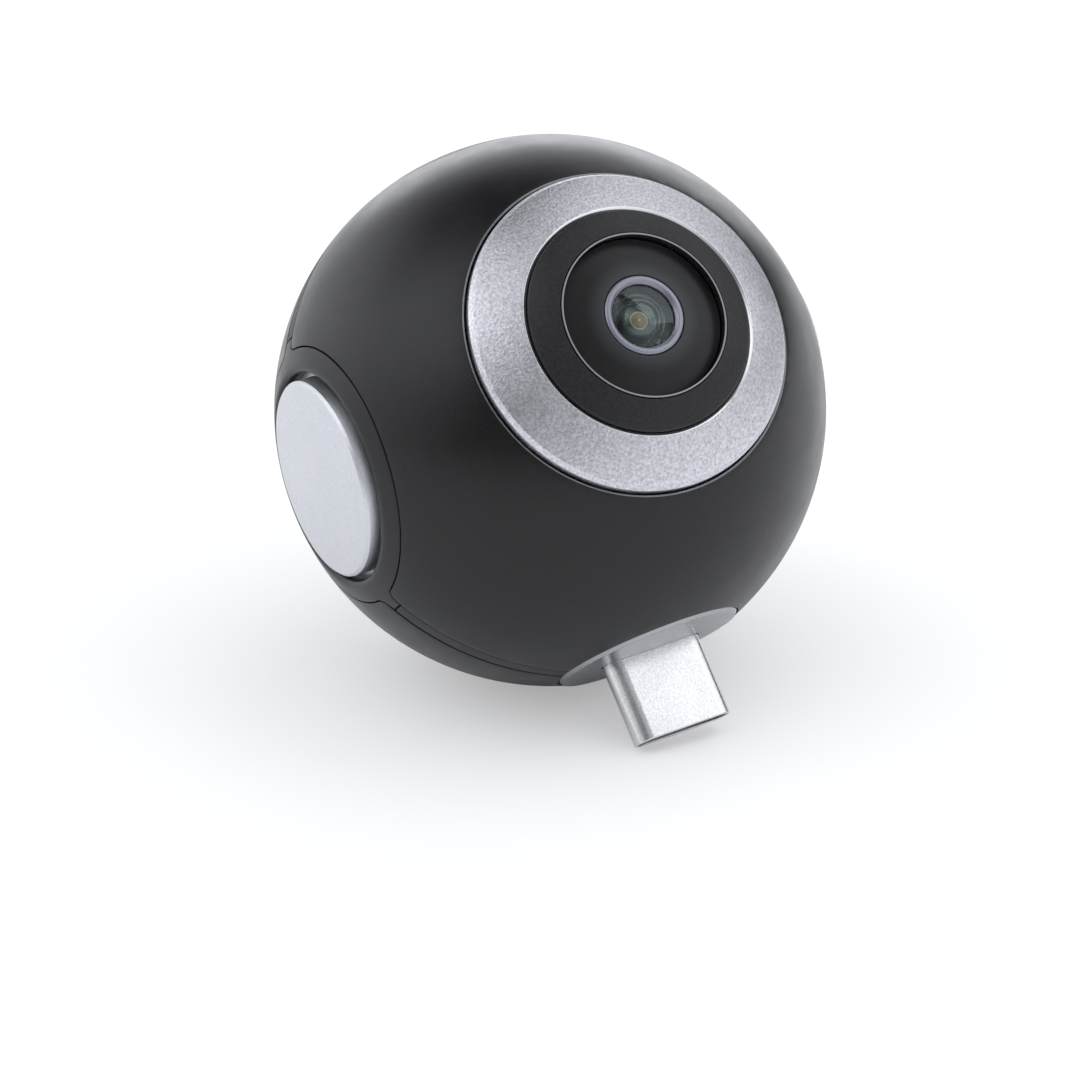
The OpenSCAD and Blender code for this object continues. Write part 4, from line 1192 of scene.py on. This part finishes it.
class BALLCAM_OT_contacts(Operator):
    """Set the rows of contacts in the plug"""

    bl_idname = "ballcam.contacts"
    bl_label = "Plug contacts"

    def execute(self, context):
        plug = settings("plug_sizes")
        made = show("usb_plug_contacts_rows", self.contact(plug))
        values = {
            "Count": plug.contact_count,
            "Pitch": plug.contact_pitch,
            "Row Offset": (width("usb_plug_contacts", 1) - plug.contact_depth) / 2,
            "Material": finish("contact_gold"),
        }
        mesh = run_nodes(made, self.rows_tree(), values)
        mesh.transform(axis("plug"))
        soften(made)
        place(made, "usb_plug_contacts")
        return {"FINISHED"}

    def contact(self, plug):
        """One contact with rounded edges."""
        low, high = span("usb_plug_contacts", 2)
        middle = Matrix.Translation((0, 0, settings("ball_sizes").radius - (low + high) / 2))
        size = Matrix.Diagonal((plug.contact_width, plug.contact_depth, high - low, 1))
        shape = bmesh.new()
        bmesh.ops.create_cube(shape, size=1.0)
        bmesh.ops.transform(shape, matrix=middle @ size, verts=shape.verts)
        edges = shape.edges[:]
        bmesh.ops.bevel(shape, geom=edges, offset=plug.contact_round, segments=2, affect="EDGES", profile=0.5)
        mesh = bpy.data.meshes.new("contact")
        shape.to_mesh(mesh)
        shape.free()
        return mesh

    def rows_tree(self):
        """Geometry nodes that repeat a contact along a row, and the row on the plug's other side."""
        inputs = (
            ("Contact", "Geometry"), ("Count", "Int"), ("Pitch", "Float"), ("Row Offset", "Float"),
            ("Material", "Material"),
        )
        tree, given = new_group("Contact rows", inputs, "Rows")
        gaps = worked_out(tree, "SUBTRACT", given["Count"], 1.0)
        back_half = worked_out(tree, "MULTIPLY", given["Pitch"], -0.5)
        first = worked_out(tree, "MULTIPLY", gaps, back_half)
        start = add(tree, "ShaderNodeCombineXYZ", {"X": first, "Y": given["Row Offset"]}).outputs["Vector"]
        step = add(tree, "ShaderNodeCombineXYZ", {"X": given["Pitch"]}).outputs["Vector"]
        spots = {"Count": given["Count"], "Start Location": start, "Offset": step}
        line = add(tree, "GeometryNodeMeshLine", spots, mode="OFFSET").outputs["Mesh"]
        repeats = add(tree, "GeometryNodeInstanceOnPoints", {"Points": line, "Instance": given["Contact"]})
        row = repeats.outputs["Instances"]
        other = add(tree, "GeometryNodeTransform", {"Geometry": row, "Rotation": (0, 0, math.pi)})
        both = add(tree, "GeometryNodeJoinGeometry")
        for each in (row, other.outputs["Geometry"]):
            tree.links.new(each, both.inputs[0])
        end_group(tree, both.outputs["Geometry"], given["Material"], "Rows")
        return tree


class BALLCAM_OT_lens_rings(Operator):
    """Turn the silver ring, the black surround and the bright line of each lens"""

    bl_idname = "ballcam.lens_rings"
    bl_label = "Lens rings"

    def execute(self, context):
        lens = settings("lens_sizes")
        face = settings("ball_sizes").radius + lens.ring_proud
        profiles = {
            "lens_ring": self.ring(lens, face),
            "lens_surround": self.surround(lens, face),
            "accent_ring": self.bright_line(lens),
        }
        for side in ("front", "rear"):
            for part, profile in profiles.items():
                node = side + "_" + part
                made = swept(node + "_turned", profile, axis(side), finish(SLOT_OF[node]), RING_TURN_STEPS)
                if part == "lens_ring":
                    self.polish_inner_bevel(made.data, axis(side), lens)
                place(made, node)
        return {"FINISHED"}

    def ring(self, lens, face):
        """Silver ring: its face follows a ball between two bevels."""
        inner, outer, bevel = lens.surround_radius + lens.fit, lens.ring_radius, lens.ring_bevel
        return [
            corner(inner, lens.ring_low), corner(inner, sphere_height(face, inner) - bevel),
            *with_ends(arc(face, inner + bevel, outer - bevel), EDGE_ROUND),
            corner(outer, sphere_height(face, outer) - bevel), corner(outer, lens.ring_low),
        ]

    def surround(self, lens, face):
        """Black ring that slopes from the silver ring to the bright line."""
        inner, outer = lens.accent_radius + lens.fit, lens.surround_radius
        return [
            corner(inner, lens.shoulder), corner(inner, lens.accent_high - lens.fit, lens.surround_lip),
            corner(outer, sphere_height(face, outer), lens.surround_round), corner(outer, lens.shoulder),
        ]

    def bright_line(self, lens):
        inner, outer = lens.accent_radius - lens.accent_width, lens.accent_radius
        return [
            corner(inner, lens.shoulder), corner(inner, lens.accent_high),
            corner(outer, lens.accent_high), corner(outer, lens.shoulder),
        ]

    def polish_inner_bevel(self, mesh, frame_of_piece, lens):
        """Marks the bevel round the ring's bore, which is cut bright."""
        start = lens.surround_radius + lens.fit + EDGE_ROUND / 3
        end = start + lens.ring_bevel
        to_piece = frame_of_piece.inverted()
        reaches = [(to_piece @ face.center).xy.length for face in mesh.polygons]
        mark_polish_and_highlight(mesh, {i for i, reach in enumerate(reaches) if start < reach < end})


class BALLCAM_OT_lenses(Operator):
    """Turn the well, the barrel, the rim and the glasses of each lens"""

    bl_idname = "ballcam.lenses"
    bl_label = "Lenses"

    def execute(self, context):
        lens = settings("lens_sizes")
        inner = bpy.data.materials.get("finish_inner_glass") or inner_glass("finish_inner_glass")
        parts = (
            ("lens_well", self.well(lens), None), ("lens_barrel", self.barrel(lens), None),
            ("lens_retainer", self.rim(lens), None), ("fisheye_lens", self.front_glass(lens), None),
            ("middle_lens", self.middle_glass(lens), inner), ("rear_lens", self.rear_glass(lens), inner),
        )
        for side in ("front", "rear"):
            for part, profile, material in parts:
                node = side + "_" + part
                paint = material or finish(SLOT_OF[node])
                place(swept(node + "_turned", profile, axis(side), paint, LENS_TURN_STEPS), node)
        return {"FINISHED"}

    def well(self, lens):
        """Well with its collar, its flange under the silver ring and its dish."""
        dish = lens.accent_radius - lens.accent_width - lens.fit
        collar_in = lens.barrel_radius + lens.fit
        collar_out = collar_in + lens.well_wall
        roof = lens.shoulder - lens.well_wall / 2
        well_in = lens.surround_radius - lens.well_wall
        flange = lens.ring_radius - lens.fit
        face = arc(math.hypot(lens.dish_high, collar_in), dish, collar_in, steps=DISH_STEPS)
        return [
            corner(collar_in, lens.well_low), corner(collar_out, lens.well_low), corner(collar_out, roof),
            corner(well_in, roof), corner(well_in, lens.seat), corner(flange, lens.seat),
            corner(flange, lens.ring_low), corner(lens.surround_radius, lens.ring_low),
            corner(lens.surround_radius, lens.shoulder), corner(dish, lens.shoulder),
            *with_ends(face, lens.dish_round),
        ]

    def barrel(self, lens):
        """Barrel with a stepped bore for the three glasses and the stop."""
        flange_bore, middle_bore, rear_bore = (
            radius + lens.fit for radius in (lens.glass_flange, lens.middle_radius, lens.rear_radius)
        )
        return [
            corner(lens.barrel_radius, lens.barrel_low), corner(lens.barrel_radius, lens.rim_low),
            corner(flange_bore, lens.rim_low), corner(flange_bore, lens.glass_low),
            corner(middle_bore, lens.glass_low), corner(middle_bore, lens.middle_low),
            corner(lens.stop_radius, lens.middle_low), corner(lens.stop_radius, lens.rear_high),
            corner(rear_bore, lens.rear_high), corner(rear_bore, lens.barrel_low),
        ]

    def rim(self, lens):
        """Ring that holds the front glass, with a sloped bore."""
        bore, slope = lens.glass_radius + lens.fit, (lens.rim_high - lens.rim_low) / 2
        return [
            corner(bore, lens.rim_low), corner(bore, self.rim_half(lens)),
            corner(bore + slope, lens.rim_high, lens.rim_lip),
            corner(lens.barrel_radius, lens.rim_high, lens.rim_round),
            corner(lens.barrel_radius, lens.rim_low),
        ]

    def rim_half(self, lens):
        """Half height of the rim, where its slope and the dome start."""
        return (lens.rim_low + lens.rim_high) / 2

    def front_glass(self, lens):
        """Domed glass with a flange and a hollow underside."""
        dome = crown_ball(lens.glass_radius, lens.glass_high - self.rim_half(lens))
        hollow = lens.glass_low + lens.hollow_depth - lens.hollow_ball
        hollow_edge = sphere_height(lens.hollow_ball, lens.hollow_ball - lens.hollow_depth)
        return [
            *arc(dome, 0.0, lens.glass_radius, lens.glass_high - dome, DOME_STEPS),
            corner(lens.glass_radius, lens.rim_low), corner(lens.glass_flange, lens.rim_low),
            corner(lens.glass_flange, lens.glass_low),
            *arc(lens.hollow_ball, hollow_edge, 0.0, hollow),
        ]

    def middle_glass(self, lens):
        """Second glass, with a crowned face."""
        crown = crown_ball(lens.middle_radius, lens.middle_crown)
        return [
            *arc(crown, 0.0, lens.middle_radius, lens.middle_high - crown),
            corner(lens.middle_radius, lens.middle_low), (0.0, lens.middle_low, 0.0),
        ]

    def rear_glass(self, lens):
        """Third glass, with a bulged underside."""
        reaches = [lens.rear_radius * (1 - i / DISH_STEPS) for i in range(DISH_STEPS + 1)]
        low = lens.rear_low + lens.rear_ball
        return [
            (0.0, lens.rear_high, 0.0), corner(lens.rear_radius, lens.rear_high),
            *((r, low - sphere_height(lens.rear_ball, r), 0.0) for r in reaches),
        ]


class BALLCAM_OT_inside(Operator):
    """Give the CAD pieces their finishes, which those that are not replaced show"""

    bl_idname = "ballcam.inside"
    bl_label = "Inner pieces"

    def execute(self, context):
        for node, made in frame["nodes"].items():
            made.data.materials.clear()
            made.data.materials.append(finish(SLOT_OF[node]))
        return {"FINISHED"}


def seen_way(spot):
    """Direction or place in the camera's axes, turned into the frame."""
    return CAMERA_RIGHT * spot[0] + CAMERA_UP * spot[1] + CAMERA_BACK * spot[2]


def turned_to(across, up, out):
    return Matrix((across, up, out)).transposed().to_4x4()


class BALLCAM_OT_stage(Operator):
    """Set the floor, the light and the camera"""

    bl_idname = "ballcam.stage"
    bl_label = "Stage"

    def execute(self, context):
        stage = settings("stage_settings")
        context.scene.view_settings.view_transform = "Standard"
        context.scene.camera = self.camera()
        self.floor(stage)
        self.panel("softbox", *SOFTBOX, stage.key)
        self.panel("back_panel", *BACK_PANEL, stage.back)
        context.scene.world = self.surround(stage)
        return {"FINISHED"}

    def camera(self):
        lens = bpy.data.cameras.new("camera")
        lens.lens, lens.sensor_width = CAMERA_LENS, CAMERA_SENSOR
        lens.clip_start, lens.clip_end = CAMERA_NEAR, CAMERA_FAR
        camera = show("camera", lens)
        turn = turned_to(CAMERA_RIGHT, CAMERA_UP, CAMERA_BACK)
        camera.matrix_world = Matrix.Translation(CAMERA_PLACE) @ turn
        return camera

    def floor(self, stage):
        """Round floor that the ball touches."""
        normal = FLOOR_NORMAL.normalized()
        foot = Matrix.Translation(ball_centre() - normal * settings("ball_sizes").radius)
        lie = normal.to_track_quat("Z", "Y").to_matrix().to_4x4()
        disc = bmesh.new()
        size = {"segments": FLOOR_SIDES, "radius": stage.floor_radius}
        bmesh.ops.create_circle(disc, cap_ends=True, matrix=foot @ lie, **size)
        mesh = bpy.data.meshes.new("floor")
        disc.to_mesh(mesh)
        disc.free()
        mesh.materials.append(self.floor_finish(stage))
        show("floor", mesh)

    def floor_finish(self, stage):
        """Pale floor that shows its upper side to the camera and to mirrors, and is clear otherwise."""
        material = bpy.data.materials.new("floor_pale")
        material.use_nodes = True
        tree = material.node_tree
        tree.nodes.clear()
        path = add(tree, "ShaderNodeLightPath").outputs
        back = add(tree, "ShaderNodeNewGeometry").outputs["Backfacing"]
        front = worked_out(tree, "SUBTRACT", 1.0, back)
        watched = worked_out(tree, "MAXIMUM", path["Is Camera Ray"], path["Is Glossy Ray"])
        seen = worked_out(tree, "MULTIPLY", watched, front)
        lit = add(tree, "ShaderNodeBsdfDiffuse", {"Color": rgba(stage.floor_colour)}).outputs["BSDF"]
        white = add(tree, "ShaderNodeEmission", {"Color": (1, 1, 1, 1), "Strength": 1.0}).outputs["Emission"]
        glow = worked_out(tree, "MULTIPLY", path["Is Camera Ray"], stage.floor_glow)
        pale = add(tree, "ShaderNodeMixShader", {0: glow, 1: lit, 2: white}).outputs["Shader"]
        clear = add(tree, "ShaderNodeBsdfTransparent").outputs["BSDF"]
        mixed = add(tree, "ShaderNodeMixShader", {0: seen, 1: clear, 2: pale})
        add(tree, "ShaderNodeOutputMaterial", {"Surface": mixed.outputs["Shader"]})
        return material

    def panel(self, name, middle, side, facing, size, brightness):
        """Soft light panel, placed from the ball's centre in the camera's axes."""
        towards = seen_way(facing).normalized()
        across = seen_way(side).normalized()
        across = (across - towards * across.dot(towards)).normalized()
        light = bpy.data.lights.new(name, "AREA")
        light.shape, light.size, light.size_y = "RECTANGLE", *size
        light.color = rgba(settings("stage_settings").light_colour)[:3]
        light.energy = brightness * math.pi * light.size * light.size_y
        lamp = show(name, light)
        lamp.visible_camera = False
        turn = turned_to(across, (-towards).cross(across), -towards)
        lamp.matrix_world = Matrix.Translation(ball_centre() + seen_way(middle)) @ turn

    def surround(self, stage):
        """Soft bright sides over an even fill; the camera itself sees the studio white."""
        world = bpy.data.worlds.new("studio")
        world.use_nodes = True
        tree = world.node_tree
        tree.nodes.clear()
        path = add(tree, "ShaderNodeLightPath").outputs
        way = add(tree, "ShaderNodeTexCoord").outputs["Generated"]
        limits = math.cos(SIDE_END), math.cos(SIDE_CORE)
        total = worked_out(tree, "MULTIPLY", path["Is Diffuse Ray"], stage.fill)
        for spot, brightness in BRIGHT_SIDES:
            towards = seen_way(spot).normalized()
            facing = add(tree, "ShaderNodeVectorMath", {0: way, 1: towards}, operation="DOT_PRODUCT")
            given, wanted = facing.outputs["Value"], (0.0, brightness)
            soft = mapped(tree, given, limits, wanted, interpolation_type="SMOOTHSTEP")
            total = worked_out(tree, "ADD", total, soft)
        lit = add(tree, "ShaderNodeBackground", {"Color": rgba(stage.light_colour), "Strength": total})
        white = add(tree, "ShaderNodeBackground", {"Color": (1, 1, 1, 1), "Strength": 1.0})
        sides = {0: path["Is Camera Ray"], 1: lit.outputs["Background"], 2: white.outputs["Background"]}
        mixed = add(tree, "ShaderNodeMixShader", sides)
        add(tree, "ShaderNodeOutputWorld", {"Surface": mixed.outputs["Shader"]})
        return world


STEPS = (
    BALLCAM_OT_shells, BALLCAM_OT_seam_strip, BALLCAM_OT_bezels, BALLCAM_OT_button, BALLCAM_OT_cap,
    BALLCAM_OT_plate, BALLCAM_OT_plug, BALLCAM_OT_contacts, BALLCAM_OT_lens_rings, BALLCAM_OT_lenses,
    BALLCAM_OT_inside, BALLCAM_OT_stage,
)
GROUPS = {
    "ball_sizes": BallSizes, "lens_sizes": LensSizes, "button_sizes": ButtonSizes, "plug_sizes": PlugSizes,
    "finish_colours": FinishColours, "stage_settings": StageSettings,
}


class BALLCAM_PT_panel(Panel):
    """Lists the steps that build the camera"""

    bl_idname = "BALLCAM_PT_panel"
    bl_label = "Ball camera"
    bl_space_type = "VIEW_3D"
    bl_region_type = "UI"
    bl_category = "Ball camera"

    def draw(self, context):
        for step in STEPS:
            self.layout.operator(step.bl_idname)


def register():
    for each in (*GROUPS.values(), *STEPS, BALLCAM_PT_panel):
        bpy.utils.register_class(each)
    for name, group in GROUPS.items():
        setattr(bpy.types.Scene, name, PointerProperty(type=group))


def unregister():
    for name in GROUPS:
        delattr(bpy.types.Scene, name)
    for each in (BALLCAM_PT_panel, *reversed(STEPS), *reversed(GROUPS.values())):
        bpy.utils.unregister_class(each)


def main():
    register()
    for step in STEPS:
        group, name = step.bl_idname.split(".")
        getattr(getattr(bpy.ops, group), name)()


if __name__ == "__main__":
    main()
